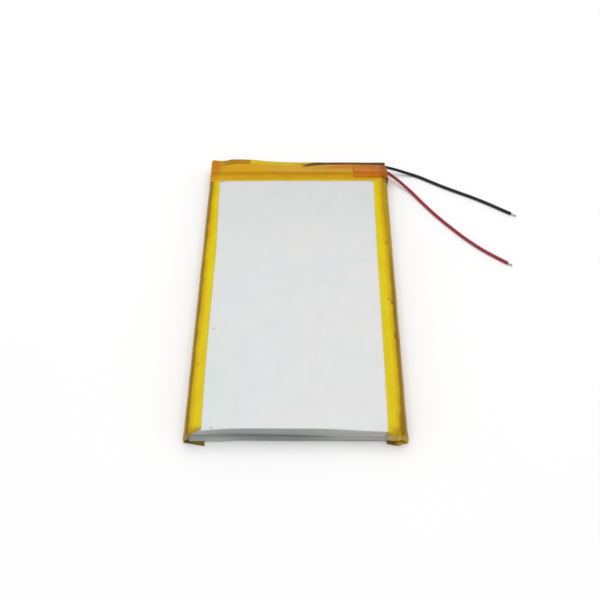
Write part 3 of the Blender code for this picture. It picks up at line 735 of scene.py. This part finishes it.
def cover_ring(k, points, outs):
    near, far, side = side_weights(outs)
    radius = 0.22 * near + 0.3 * far + 0.6 * side
    floor = COVER_FLOOR - 0.1 * near
    x = points[:, 0]
    swell = 0.3 * near * ease(-16.0, -20.0, x)  # the left end's bottom stands out further
    lip = crease_line(x) - 0.05
    top = np.where(outs[:, 1] < 0, lip * near + SEAL_TOP * (1 - near), SEAL_TOP * side + far * 0.16)
    if k <= COVER_ARC:
        angle = math.pi / 2 * (k / COVER_ARC)
        reach = math.sin(angle) * (1 - far) + far * k / COVER_ARC
        offset = radius * (reach - 1.0)
        height = floor + (1 - far) * radius * (1.0 - math.cos(angle))
    else:
        share = (k - COVER_ARC) / COVER_WALL
        height = (floor + radius) * (1 - share) + top * share
        height = height * (1 - far) + (COVER_FLOOR + 0.01 * share) * far
        pinch = crease_depth(x) * ease(lip - 1.1, lip, height)
        belly = 0.06 * bell(height, 1.2, 0.7) * ease(27.0, 20.0, np.abs(x))
        offset = near * (belly - pinch)
    offset = offset + swell * bell(height, 0.3, 0.6)
    moved = points + outs * np.asarray(offset)[:, None]
    if k > COVER_ARC:
        moved[:, 1] += TERRACE * share * far
    return np.column_stack((moved, np.broadcast_to(height, len(moved))))


FACE_NEAR = np.array([0.706, 0.712, 0.712])
FACE_FAR = np.array([0.664, 0.674, 0.667])
# The plain end is the same film as the top face; its darker greys are painted shade.
END_LEFT_SHADED = np.array([0.365, 0.392, 0.378])
END_RIGHT_SHADED = np.array([0.43, 0.425, 0.40])


def laminate_tints(points):
    """Light grey on the top face, and on the plain end a darker grey of painted shade, with painted
    shade along its fold, crease and bottom and painted light in places.
    """
    x, y, z = np.asarray(points).T
    below = pouch_top(x, y) - z
    on_end = ease(0.06, 0.24, below) * ease(POUCH_NEAR + 4.0, POUCH_NEAR + 2.5, y)
    far_share = ease(0.0, 45.0, y)[:, None]
    face = FACE_NEAR * (1 - far_share) + FACE_FAR * far_share
    cool = ease(-8.0, -26.0, x)[:, None] * ease(0.0, -40.0, y)[:, None]
    face = face * (1 - cool * np.array([0.05, 0.01, 0.025]))
    end = paint(END_LEFT_SHADED, (END_RIGHT_SHADED, ease(2.0, 16.0, x)))
    pale = ease(-21.0, -27.0, x) * ease(3.0, 4.4, z)
    fold = bell(z, 5.75, 0.22) * ease(20.0, 10.0, np.abs(x + 3.0))
    middle = crease_line(x) + 0.1
    width = np.where(z > middle, 1.8, 1.5) * ease(30.0, 4.0, np.abs(x + 7.0)) + 0.15
    crease = bell((z - middle) / width, 0.0, 1.0) * ease(25.0, 8.0, np.abs(x + 7.0))
    ridge = bell(z, middle, 0.5) * ease(9.0, 16.0, x)
    streaks = wander(np.stack((x * 0.09, 0 * x, z * 1.3), axis=-1), 1.0, 17)
    low = bell(z, 0.1, 0.62) * ease(-16.0, -6.0, x)
    low_left = bell(z, 0.4, 0.7) * ease(-16.0, -20.0, x)
    # Painted shade along the top fold, round the crease and low in the middle and right; painted light
    # high on the left, at the crease on the right and low on the left. The streaks only vary the tone.
    shade = (1 + 0.12 * pale) * (1 - 0.14 * fold) * (1 - 0.40 * crease) * (1 + 0.14 * ridge)
    shade = shade * (1 + 0.11 * streaks) * (1 - 0.42 * low) * (1 + 0.22 * low_left)
    return face * (1 - on_end[:, None]) + end * (shade * on_end)[:, None]


def cover_bottom(x, y):
    """The cover's underside, which sags a little between the tapes' lower legs."""
    sag = ease(25.0, 23.6, np.abs(x)) * ease(POUCH_NEAR + 0.6, POUCH_NEAR + 2.0, y)
    return COVER_FLOOR - 0.07 * sag * ease(BODY_FAR - 0.5, BODY_FAR - 2.0, y)


def add_pouch_half(node, half_width, radius, place_ring, ring_count, lid_height, flip=False):
    sides = plan_outline(half_width, POUCH_NEAR, BODY_FAR, radius)
    points, faces = lid_and_skirt(sides, place_ring, ring_count, lid_height, flip)
    name = f"{node}_film"
    data = thin_solid(name, points, faces, FILM, laminate_tints(points))
    link_piece(name, data, "pouch_laminate", node)


add_pouch_half("pouch_cup", CUP_HALF_WIDTH, CORNER, cup_ring, CUP_RINGS, pouch_top)
add_pouch_half(
    "pouch_cover", COVER_HALF_WIDTH, COVER_CORNER, cover_ring, COVER_RINGS, cover_bottom, flip=True
)

# ---------------------------------------------------------------- edge tapes

YELLOW = linear(222, 200, 0)
YELLOW_DEEP = linear(206, 174, 0)
AMBER_EDGE = linear(148, 112, 0)
AMBER_EDGE_FAR = linear(180, 144, 0)
AMBER_DARK = linear(140, 108, 8)
AMBER_WALL = linear(162, 136, 62)
FOOT_SHINE = linear(232, 188, 66)
OLIVE = linear(136, 112, 44)
END_FILM_TOP = linear(192, 160, 20)  # one layer seen over the grey end of the pouch
END_FILM_LOW = linear(190, 168, 136)
FOLD_SHINE = linear(226, 184, 30)
CUT_EDGE = linear(150, 122, 44)
END_CORNER = linear(196, 164, 60)
END_CORNER_LEFT = linear(158, 138, 66)
INNER_REFERENCE = 25.0
SECTION_POINTS = 72
TOP_EDGE_LENGTH = 92.7
FOLD_BEHIND = 0.14  # how far the side's fold lies behind the fold of the top


def edge_section(bottom_inner_x):
    """Outside face of an edge tape's section, from its top edge round to its bottom edge."""
    lift = GAP + TAPE
    top_xs = np.linspace(INNER_REFERENCE, SHOULDER_HALF_WIDTH, 8)
    top = [(x, float(pouch_top(x, 0.0)) + lift) for x in top_xs]
    radius = 1.1 + lift
    low = top[-1][1] - radius
    angles = np.radians((15, 30, 45, 60, 75))
    bend = [(SHOULDER_HALF_WIDTH + radius * math.sin(a), low + radius * math.cos(a)) for a in angles]
    wall = [(29.66, 4.45), (29.84, 3.95), (29.95, 3.3), (29.98, 2.4), (29.95, 1.5), (29.86, 0.8)]
    foot = [(29.66, 0.32), (29.35, 0.08), (28.9, 0.0)]
    bottom = [(x, 0.0) for x in np.linspace(28.2, bottom_inner_x, 5)]
    knots = [(x, 0.0, z) for x, z in top + bend + wall + foot + bottom]
    line = [(point.x, point.z) for point in smooth_curve(knots, 8)]
    return resample(line, SECTION_POINTS)


def edge_tints(grid, sign, from_cut):
    """Yellow in one layer on the top, amber on the folded and doubled edge, which is partly painted
    shade where the film turns down over the shoulder.

    from_cut is each point's distance to the film's cut edge at the plain end.
    """
    x, y, z = np.abs(grid[..., 0]), grid[..., 1], grid[..., 2]
    rough = 0.25 * wander(np.stack((y * 0.8, z * 0.0, sign + 0.0 * z), axis=-1), 2.6, 11)
    inset = 0.15 * ease(10.0, 30.0, y)
    amber, flap_side, corner = AMBER_EDGE, 28.6, END_CORNER_LEFT
    if sign > 0:
        inset = 0.18 + 0.77 * ease(5.0, 32.0, y) + 0.62 * ease(-40.0, -50.0, y)
        amber = paint(AMBER_EDGE, (AMBER_EDGE_FAR, ease(-2.0, 15.0, y)))
        flap_side, corner = 26.9, END_CORNER
    side = np.maximum(ease(3.4, 1.2, z), ease(28.9, 29.5, x))
    under = ease(0.25, 0.05, z)
    near = ease(POUCH_NEAR + 2.0, POUCH_NEAR + 0.1, y) * (1 - under)
    foot = under * ease(26.4, 28.2, x) * ease(POUCH_NEAR + 0.3, POUCH_NEAR - 0.2, y)
    wrapped = ease(POUCH_NEAR + 0.1, POUCH_NEAR - 0.35, y) * (1 - under)
    over_grey = paint(END_FILM_TOP, (END_FILM_LOW, ease(5.4, 1.6, z)))
    colours = paint(
        YELLOW,
        (YELLOW_DEEP, ease(26.8, 28.2, x + rough + inset)),
        # The amber shoulder is partly the doubled film and partly painted shade where the film turns
        # away from the light.
        (amber, ease(28.0, 28.9, x + rough + inset)),
        (AMBER_WALL, 0.7 * side),
        (OLIVE, under),
        # Painted light: a lighter bottom leg at the right near corner, where it lies in shade.
        (FOOT_SHINE, (0.9 if sign > 0 else 0.0) * foot),
        # Painted shade: darker amber where the top leg turns down over the plain end.
        (AMBER_EDGE, 0.6 * near * ease(24.0, 27.0, x)),
        (over_grey, wrapped * ease(flap_side, flap_side - 0.6, x)),
        # Low on the wrapped corner the film over the grey end; on the left it is lightened by painted
        # light where the corner lies in shade.
        (corner, 0.8 * wrapped * ease(28.4, 29.2, x) * ease(4.6, 3.4, z)),
    )
    if sign > 0:
        # Painted highlight along the curled fold at the right near corner.
        return paint(colours, (FOLD_SHINE, 0.95 * wrapped * bell(x, 27.9, 0.75) * bell(z, 2.8, 2.2)))
    return paint(colours, (CUT_EDGE, 0.6 * ease(1.3, 0.1, from_cut) * ease(4.0, 5.2, z)))


def wrap_past_end(grid, normals, start_y, radius):
    """Film that runs past start_y curls in round the plain end, towards its own inside.

    start_y has one value for each point, so that one fold can lie behind another.
    """
    past = np.clip(start_y - grid[..., 1], 0.0, None)
    lift = ease(0.25, 1.1, grid[..., 2])  # the bottom leg lies flat on what it stands on
    angle = np.minimum(past / radius, 0.5 * math.pi)
    beyond = np.clip(past - 0.5 * math.pi * radius, 0.0, None)
    curled_y = start_y - radius * np.sin(angle)
    inward = radius * (1.0 - np.cos(angle)) + beyond
    curled = grid.copy()
    curled[..., 1] = np.where(past > 0.0, curled_y, grid[..., 1])
    curled = curled - normals * inward[..., None]
    return grid * (1 - lift[..., None]) + curled * lift[..., None]


def outward_normals(grid, middle):
    normals = np.cross(np.gradient(grid, axis=1), np.gradient(grid, axis=0))
    normals /= np.linalg.norm(normals, axis=2, keepdims=True)
    away = np.sum(normals * (grid - np.array(middle)), axis=2, keepdims=True)
    return normals * np.sign(away)


def add_edge_tape(side, sign, inner, bottom_inner_x, near_reach, far_y, curl, folds):
    """An edge tape, shaped as the right one and mirrored for the left.

    inner is how far in the top edge lies at the plain end, at the terminal end, and bowed.
    """
    section = edge_section(bottom_inner_x)
    share, reach = zip(*near_reach)
    near = POUCH_NEAR - np.interp(np.linspace(0.0, 1.0, SECTION_POINTS), share, reach)
    along = stations((0.0, 0.06, 20), (0.06, 1.0, 170))
    from_cut = (far_y - near[:, None]) * along[None, :]
    grid = np.zeros((*from_cut.shape, 3))
    grid[..., 0] = section[:, :1]
    grid[..., 1] = near[:, None] + from_cut
    grid[..., 2] = section[:, 1:]
    on_top = ease(5.0, 5.7, grid[..., 2])
    wall = ease(29.0, 29.6, grid[..., 0]) * ease(0.1, 0.6, grid[..., 2])
    y = grid[..., 1]
    inner_x = inner[0] + (inner[1] - inner[0]) * np.clip((y - POUCH_NEAR) / TOP_EDGE_LENGTH, 0.0, 1.0)
    waver = 0.07 * wander(np.stack((y, 0 * y, 0 * y), axis=-1), 7.0, 2 + sign)
    inner_x = inner_x - inner[2] * bell(y, 12.0, 22.0) + waver
    top_leg = (grid[..., 2] > 3.0) & (grid[..., 0] < SHOULDER_HALF_WIDTH)
    stretch = (SHOULDER_HALF_WIDTH - inner_x) / (SHOULDER_HALF_WIDTH - INNER_REFERENCE)
    wider = SHOULDER_HALF_WIDTH - (SHOULDER_HALF_WIDTH - grid[..., 0]) * stretch
    grid[..., 0] = np.where(top_leg, wider, grid[..., 0])
    mirrored = grid * np.array([sign, 1.0, 1.0])
    slow = wander(mirrored, 9.0, 3 + sign)
    quick = wander(mirrored, 2.2, 8 + sign)
    push = (0.05 * slow + 0.05 * quick) * wall + 0.012 * (quick + 1.0) * on_top
    for fold_x, fold_y, size, depth in folds:
        ridge = bell(y - (grid[..., 0] - fold_x) * 0.8, fold_y, size)
        push = push + depth * ridge * bell(grid[..., 0], fold_x, 0.9)
    normals = outward_normals(grid, (20.0, 0.0, 3.0))
    normals[..., 1] = 0.0
    grid = grid + normals * push[..., None]
    sink = pouch_top(sign * grid[..., 0], 0.0) - pouch_top(sign * grid[..., 0], grid[..., 1])
    grid[..., 2] -= sink * ease(0.6, 5.0, grid[..., 2])
    flare = ease(POUCH_NEAR + 7.0, POUCH_NEAR, grid[..., 1]) * ease(28.2, 29.6, grid[..., 0])
    grid[..., 0] += 0.62 * flare * ease(3.4, 0.2, grid[..., 2])
    grid = wrap_past_end(grid, normals, POUCH_NEAR - 0.05 + FOLD_BEHIND * wall, curl)
    grid[..., 2] = np.maximum(grid[..., 2], 0.0)
    past = ease(BODY_FAR - 0.3, BODY_FAR + 4.6, grid[..., 1])
    grid[..., 2] -= past * 1.25 * ease(3.6, 5.4, grid[..., 2])
    over_band = ease(BODY_FAR - 0.9, BODY_FAR - 0.2, grid[..., 1])
    grid[..., 2] += (TAPE + 0.03) * over_band * ease(1.2, 0.1, grid[..., 2])
    tints = edge_tints(grid, sign, from_cut).reshape(-1, 3)
    grid[..., 0] *= sign
    faces = grid_faces(*grid.shape[:2], flip=sign > 0)
    name = f"{side}_edge_tape_film"
    data = thin_solid(name, grid.reshape(-1, 3), faces, TAPE, tints)
    link_piece(name, data, "yellow_tape", f"{side}_edge_tape")


# How far the film runs past the pouch at the plain end, by share of its section: its top
# leg (0 to 0.22), the shoulder (to 0.36), the wall (to 0.66), the foot and the bottom leg (to 1).
LEFT_REACH = (
    (0.0, -0.5), (0.1, 0.3), (0.22, 1.3), (0.32, 1.5), (0.52, 1.6),
    (0.62, 0.85), (0.68, 0.7), (0.78, 1.05), (1.0, 1.65),
)
RIGHT_REACH = (
    (0.0, 3.2), (0.05, 4.1), (0.17, 4.3), (0.215, 4.1), (0.245, 2.0), (0.28, 1.5), (0.36, 1.7),
    (0.43, 2.4), (0.58, 2.0), (0.65, 0.6), (0.70, 0.75), (0.75, 1.3), (0.8, 1.45), (1.0, 0.85),
)
# Slanting folds, each as x, y, size and height.
LEFT_FOLDS = ((28.9, -30.0, 0.7, 0.06), (28.7, 4.0, 0.5, 0.05))
RIGHT_FOLDS = ((28.6, -22.0, 0.8, 0.12), (28.2, -9.0, 0.9, 0.14), (29.0, 12.0, 0.6, 0.08))
add_edge_tape("left", -1, (25.1, 26.35, 0.5), 24.6, LEFT_REACH, 52.75, 0.7, LEFT_FOLDS)
add_edge_tape("right", 1, (24.55, 25.2, 0.15), 24.5, RIGHT_REACH, 48.4, 0.6, RIGHT_FOLDS)

# ---------------------------------------------------------------- terminal tape

BAND_NEAR = band_low.y + 0.3
BAND_FAR = band_high.y
BAND_ROLL = 0.5  # radius of the bend at the far edge
BAND_HALF_WIDTH = 29.62
HUG_RADIUS = 1.42
EXIT_NEAR = patch_low.y - 0.3
EXIT_FAR = 49.3
EXIT_SHOULDER = 29.3
FAR_EDGE_X = (-30.0, -28.6, -27.0, -24.6, -23.4, -22.5, -18.5, -15.0, -11.5, -6.0, 0.0, 5.5, 30.0)
FAR_EDGE_Z = (5.05, 5.35, 5.00, 5.15, 5.55, 5.68, 5.66, 5.45, 4.95, 4.50, 4.22, 4.25, 4.22)


def lead_distance(points, line, far_x):
    """Plan distance of each point to a lead's centreline up to far_x."""
    line = line[line[:, 0] < far_x]
    flat = points.reshape(-1, 3)[:, None, :2]
    return np.linalg.norm(flat - line[None, :, :2], axis=2).min(axis=1).reshape(points.shape[:-1])


def band_top(x, y):
    """Outside face of the terminal tape over the body and down over the board."""
    x = np.asarray(x, dtype=float)
    y = np.asarray(y, dtype=float)
    step = (TAPE + GAP) * ease(24.2, 25.2, np.abs(x))
    past_shoulder = np.clip(np.abs(x) - SHOULDER_HALF_WIDTH, 0.0, 1.3)
    hug = HUG_RADIUS - np.sqrt(HUG_RADIUS**2 - past_shoulder**2)
    over = pouch_top(x, 0.0 * x) + GAP + TAPE + step - hug
    edge = np.interp(x, FAR_EDGE_X, FAR_EDGE_Z)
    share = np.clip((y - (BODY_FAR - 0.5)) / (BAND_FAR - 0.45 - (BODY_FAR - 0.5)), 0.0, 1.0)
    eased = share**0.8
    round_off = ease(0.0, 0.25, share)
    return over - (over - edge) * (eased * 0.7 + ease(0.0, 1.0, share) * 0.3) * round_off


def far_edge_bend(start, height, reach, drop):
    """Four points of a quarter bend, from a start going out by reach and down by drop."""
    angles = np.radians((20, 40, 60, 80))
    return [(start + reach * math.sin(a), height - drop * (1 - math.cos(a))) for a in angles]


AMBER = linear(208, 158, 0)
AMBER_EDGE_LINE = linear(212, 172, 46)
BAND_RIM = linear(232, 206, 96)
AMBER_LINE = linear(164, 108, 0)
AMBER_SLOPE = linear(208, 160, 14)
AMBER_RIGHT = linear(204, 136, 14)
ORANGE = linear(188, 104, 8)
ORANGE_CORNER = linear(204, 126, 0)
BROWN = linear(174, 126, 8)
LEAD_BROWN = linear(72, 50, 16)
BRIGHT_STRIP = linear(208, 184, 30)
BAND_END = linear(160, 88, 10)
BAND_FOLD = linear(166, 104, 10)
RED_UNDER_BAND = linear(176, 66, 10)
EXIT_ORANGE = linear(198, 116, 8)
EXIT_MIDDLE = linear(188, 108, 6)
EXIT_SIDE = linear(162, 84, 8)
EXIT_LINE = linear(172, 94, 4)
RED_UNDER_EXIT = linear(166, 62, 10)


def band_tints(grid):
    """Amber over the body and the board, with what shows through the film and its folds."""
    x, y, z = np.moveaxis(grid, -1, 0)
    drift = wander(np.stack((x * 0.35, y * 1.5, 0 * z), axis=-1), 1.6, 14)
    slope = ease(BODY_FAR + 0.2, BODY_FAR + 1.4, y)
    left = ease(-25.5, -27.8, x + 0.6 * drift)
    right = ease(16.0, 24.0, x) * ease(42.6, 44.2, y)
    line = bell(y, BODY_FAR - 0.95 + 0.12 * drift, 0.55) + 0.35 * bell(y, BODY_FAR - 1.9, 0.35)
    bump = ease(-26.5, -25.0, x) * ease(-15.6, -16.6, x + 0.3 * drift)
    fold = bell(y, 50.1 + 0.08 * (x + 23.0) + 0.15 * drift, 0.3) * ease(-15.6, -16.8, x)
    strip = ease(49.3, 51.0, y) * ease(-16.6, -15.6, x + 0.3 * drift)
    shade = ease(1.3, 0.45, lead_distance(grid, black_line, 31.0)) * ease(-0.5, 3.0, x)
    red_shade = ease(0.9, 0.3, lead_distance(grid, red_line, 31.0))
    colours = paint(
        AMBER,
        (AMBER_EDGE_LINE, 0.7 * ease(BAND_NEAR + 1.0, BAND_NEAR + 0.2, y)),
        # A lighter rim at the near edge: partly the thin clear film over the pale laminate, partly
        # painted light that fills the shade at the edge.
        (BAND_RIM, 0.7 * ease(BAND_NEAR + 0.4, BAND_NEAR + 0.1, y)),
        (AMBER_SLOPE, slope),
        (AMBER_RIGHT, 0.85 * slope * ease(1.0, 14.0, x)),
        (ORANGE_CORNER, left * (0.5 + 0.5 * ease(43.5, 46.5, y))),
        (ORANGE, 0.75 * right),
        (BAND_END, 0.9 * ease(27.4, 28.6, x)),
        (AMBER_LINE, np.minimum(0.72 * line, 1.0) * (0.8 + 0.2 * drift)),
        (BROWN, bump * ease(49.9, 50.5, y)),
        (AMBER_LINE, 0.8 * fold * ease(49.0, 49.6, y)),
        (BROWN, 0.7 * ease(-24.5, -26.0, x) * bell(y, 51.2, 0.6)),
        (BRIGHT_STRIP, 0.9 * strip * ease(1.5, -3.0, x)),
        (BAND_FOLD, 0.75 * ease(50.2, 51.2, y) * ease(4.0, 8.0, x)),
        (LEAD_BROWN, 0.92 * shade * ease(1.0, 2.6, z) * ease(52.62, 52.4, y)),
        (RED_UNDER_BAND, 0.35 * red_shade * ease(9.0, 13.0, x)),
        (AMBER_DARK, 0.5 * ease(3.0, 1.0, z)),
    )
    worn = 0.05 * ease(43.0, 44.4, y) * ease(BODY_FAR - 0.4, BODY_FAR - 1.2, y)
    worn = worn + 0.05 * ease(-2.0, 8.0, x) * ease(42.8, 44.0, y)
    return colours * (1.0 - worn + 0.08 * drift)[..., None]


def add_tape(node, slot, columns, shape, tints_of):
    """A tape from columns of points. shape moves the grid's points in place."""
    grid = np.array(columns)
    shape(grid)
    name = f"{node}_film"
    faces = grid_faces(*grid.shape[:2], flip=True)
    data = thin_solid(name, grid.reshape(-1, 3), faces, TAPE, tints_of(grid).reshape(-1, 3))
    link_piece(name, data, slot, node)


def slope_creases(grid):
    return wander(grid * np.array([0.45, 1.6, 1.0]), 2.6, 5)


def red_lead_bulge(grid):
    return bell(lead_distance(grid, red_line, 30.5), 0.0, 0.8)


def band_column(x, top_ys):
    """One line of the band, over the body, down the far end and back underneath."""
    edge_y = BAND_FAR - BAND_ROLL - 0.05
    edge_z = float(band_top(x, edge_y))
    near_wave = 0.10 * noise.noise(Vector((x / 6.0, 3.3, 0.0)))
    path = []
    for y in top_ys:
        shift = near_wave * (1 - (y - BAND_NEAR) / 4.0) if y < BAND_NEAR + 4.0 else 0.0
        pressed = GAP * float(ease(BAND_NEAR + 0.6, BAND_NEAR, y))
        path.append((y + shift, float(band_top(x, y)) - pressed))
    path += far_edge_bend(edge_y, edge_z, BAND_ROLL, BAND_ROLL)
    lean = 0.05 + 0.08 * noise.noise(Vector((x / 5.0, 0.7, 2.0)))
    for t in np.linspace(0.0, 1.0, 12):
        path.append((BAND_FAR - lean * math.sin(math.pi * t), edge_z - 0.6 + (0.5 - edge_z + 0.6) * t))
    path += [(BAND_FAR - 0.08, 0.2), (BAND_FAR - 0.3, 0.04), (BAND_FAR - 0.6, 0.0)]
    path += [(y, 0.0) for y in np.linspace(BAND_FAR - 1.2, BODY_FAR - 0.05, 6)]
    return [(x, y, z) for y, z in path]


def shape_band(grid):
    x, y, z = np.moveaxis(grid, -1, 0)
    slope = ease(BODY_FAR, BODY_FAR + 1.2, y) * ease(3.2, 4.0, z)
    lift = 0.10 * slope * slope_creases(grid)
    lift += 0.16 * slope * red_lead_bulge(grid)
    lift += 0.12 * slope * bell(x, -19.0, 3.6) * bell(y, 49.0, 1.6)
    lift += 0.02 * ease(BODY_FAR, BODY_FAR - 1.0, y) * (wander(grid, 3.5, 9) + 0.4)
    grid[..., 2] += lift
    wall = ease(BAND_FAR - 0.3, BAND_FAR - 0.1, y) * ease(0.3, 1.0, z)
    grid[..., 1] -= 0.12 * wall * (wander(grid * np.array([1.0, 1.0, 0.6]), 2.4, 6) + 0.6)


band_xs = stations((-BAND_HALF_WIDTH, -24.0, 28), (-24.0, 24.0, 110), (24.0, BAND_HALF_WIDTH, 28))
band_ys = stations(
    (BAND_NEAR, BAND_NEAR + 0.6, 4),
    (BAND_NEAR + 0.6, BODY_FAR - 1.0, 8),
    (BODY_FAR - 1.0, BODY_FAR + 1.0, 12),
    (BODY_FAR + 1.0, BAND_FAR - BAND_ROLL - 0.05, 22),
)
band_columns = [band_column(x, band_ys) for x in band_xs]
add_tape("terminal_tape", "amber_tape", band_columns, shape_band, band_tints)

# ---------------------------------------------------------------- exit tape


def exit_column(y, share):
    """One line of the exit tape, from its ragged left edge to the side and down it."""
    start = 18.5 + 0.25 * math.sin(5.0 * share) + 0.1 * noise.noise(Vector((share * 6.0, 1.0, 4.0)))
    path = [(x, float(band_top(x, y)) + TAPE + 0.01) for x in np.linspace(start, EXIT_SHOULDER, 30)]
    last = path[-1][1]
    side_x = patch_high.x
    path += far_edge_bend(EXIT_SHOULDER, last, side_x - EXIT_SHOULDER, 0.7)
    bottom = 1.2 + 0.5 * ease(0.6, 1.0, share)
    path += [(side_x, z) for z in np.linspace(last - 0.8, float(bottom), 10)]
    return [(x, y, z) for x, z in path]


def shape_exit(grid):
    slope = ease(BODY_FAR, BODY_FAR + 1.2, grid[..., 1])
    grid[..., 2] += 0.10 * slope * slope_creases(grid)
    grid[..., 2] += 0.16 * slope * red_lead_bulge(grid)


def exit_tints(grid):
    x, y, _ = np.moveaxis(grid, -1, 0)
    return paint(
        EXIT_ORANGE,
        (EXIT_MIDDLE, ease(22.0, 25.5, x)),
        (EXIT_SIDE, ease(26.8, 28.4, x)),
        (EXIT_LINE, 0.7 * bell(y, BODY_FAR - 0.9, 0.5)),
        (RED_UNDER_EXIT, 0.3 * ease(0.9, 0.3, lead_distance(grid, red_line, 31.0))),
    )


exit_ys = np.linspace(EXIT_NEAR, EXIT_FAR, 26)
exit_columns = [exit_column(y, (y - EXIT_NEAR) / (EXIT_FAR - EXIT_NEAR)) for y in exit_ys]
add_tape("exit_tape", "orange_tape", exit_columns, shape_exit, exit_tints)

# ---------------------------------------------------------------- parts inside

# Slots that no piece covers: a display colour and settings of grained().
HIDDEN_LOOKS = {
    "cathode_coating": ((52, 52, 55), dict(grain_mm=0.05, rough=(0.7, 0.85))),
    "anode_coating": ((78, 66, 58), dict(grain_mm=0.06, rough=(0.6, 0.8))),
    "separator_film": ((236, 237, 235), dict(spread=0.03, rough=(0.5, 0.6))),
    "winding_tape": ((60, 150, 108), dict(rough=(0.3, 0.4))),
    "aluminium_tab": (
        (205, 207, 208), dict(spread=0.06, metallic=1.0, rough=(0.25, 0.4), stretch=(1, 8, 1))
    ),
    "nickel": ((190, 186, 178), dict(spread=0.08, metallic=1.0, rough=(0.25, 0.42), stretch=(8, 1, 1))),
    "seal_film": ((60, 60, 60), dict(rough=(0.35, 0.5))),
    "foam": ((228, 228, 220), dict(spread=0.06, grain_mm=0.12, grain_depth_mm=0.05, rough=(0.8, 0.95))),
    "insulating_paper": ((190, 200, 160), dict(spread=0.08, grain_mm=0.08, rough=(0.7, 0.85))),
    "circuit_board": ((24, 110, 70), dict(spread=0.2, size_mm=2.0, rough=(0.2, 0.35))),
    "chip_plastic": ((40, 40, 42), dict(grain_mm=0.05, rough=(0.5, 0.65))),
    "chip_resistor": ((46, 46, 50), dict(size_mm=0.8, rough=(0.25, 0.4))),
    "chip_capacitor": ((172, 140, 104), dict(size_mm=0.8, rough=(0.45, 0.6))),
    "solder": ((210, 211, 212), dict(spread=0.1, size_mm=0.6, metallic=1.0, rough=(0.12, 0.3))),
}
for slot, (display_colour, settings) in HIDDEN_LOOKS.items():
    looks[slot] = grained(slot, linear(*display_colour), **settings)
for subpart in frame["record"]["subparts"]:
    for material_slot in frame["nodes"][subpart["node"]].material_slots:
        material_slot.material = looks[subpart["material_slot"]]

# ---------------------------------------------------------------- floor and light


FLOOR_HALF_SIZE = 3000.0
SOFTBOX_PLACE = (0.0, 0.12, 0.75)
SOFTBOX_SIZE = 0.9
SOFTBOX_POWER = 3.6
STUDIO_LIGHT = 0.62


def add_floor():
    """A large sheet of pale paper under the cell."""
    bm = bmesh.new()
    bmesh.ops.create_grid(bm, x_segments=4, y_segments=4, size=FLOOR_HALF_SIZE)
    data = finish_mesh("floor", bm)
    floor = bpy.data.objects.new("floor", data)
    bpy.context.scene.collection.objects.link(floor)
    n = Nodes("floor_paper")
    n.value("Specular IOR Level", 0.1)
    tone = n.ramp(n.noise(120.0, detail=2.0), (0.3, (0.955, 0.955, 0.955)), (0.7, (0.97, 0.97, 0.97)))
    rough = n.span(n.noise(60.0), 0.3, 0.7, 0.85, 0.95)
    data.materials.append(n.finish(tone, rough))


def add_softbox():
    """A square soft light overhead, aimed at the frame's origin."""
    data = bpy.data.lights.new("overhead_softbox", "AREA")
    data.shape = "SQUARE"
    data.size = SOFTBOX_SIZE
    data.energy = SOFTBOX_POWER
    light = bpy.data.objects.new("overhead_softbox", data)
    bpy.context.scene.collection.objects.link(light)
    way = -Vector(SOFTBOX_PLACE)
    light.rotation_euler = way.to_track_quat("-Z", "Y").to_euler()
    light.location = SOFTBOX_PLACE


add_floor()
add_softbox()
world = bpy.data.worlds.new("studio")
world.use_nodes = True
background = world.node_tree.nodes["Background"]
background.inputs["Color"].default_value = (1.0, 1.0, 1.0, 1.0)
background.inputs["Strength"].default_value = STUDIO_LIGHT
bpy.context.scene.world = world
bpy.context.scene.view_settings.view_transform = "Standard"
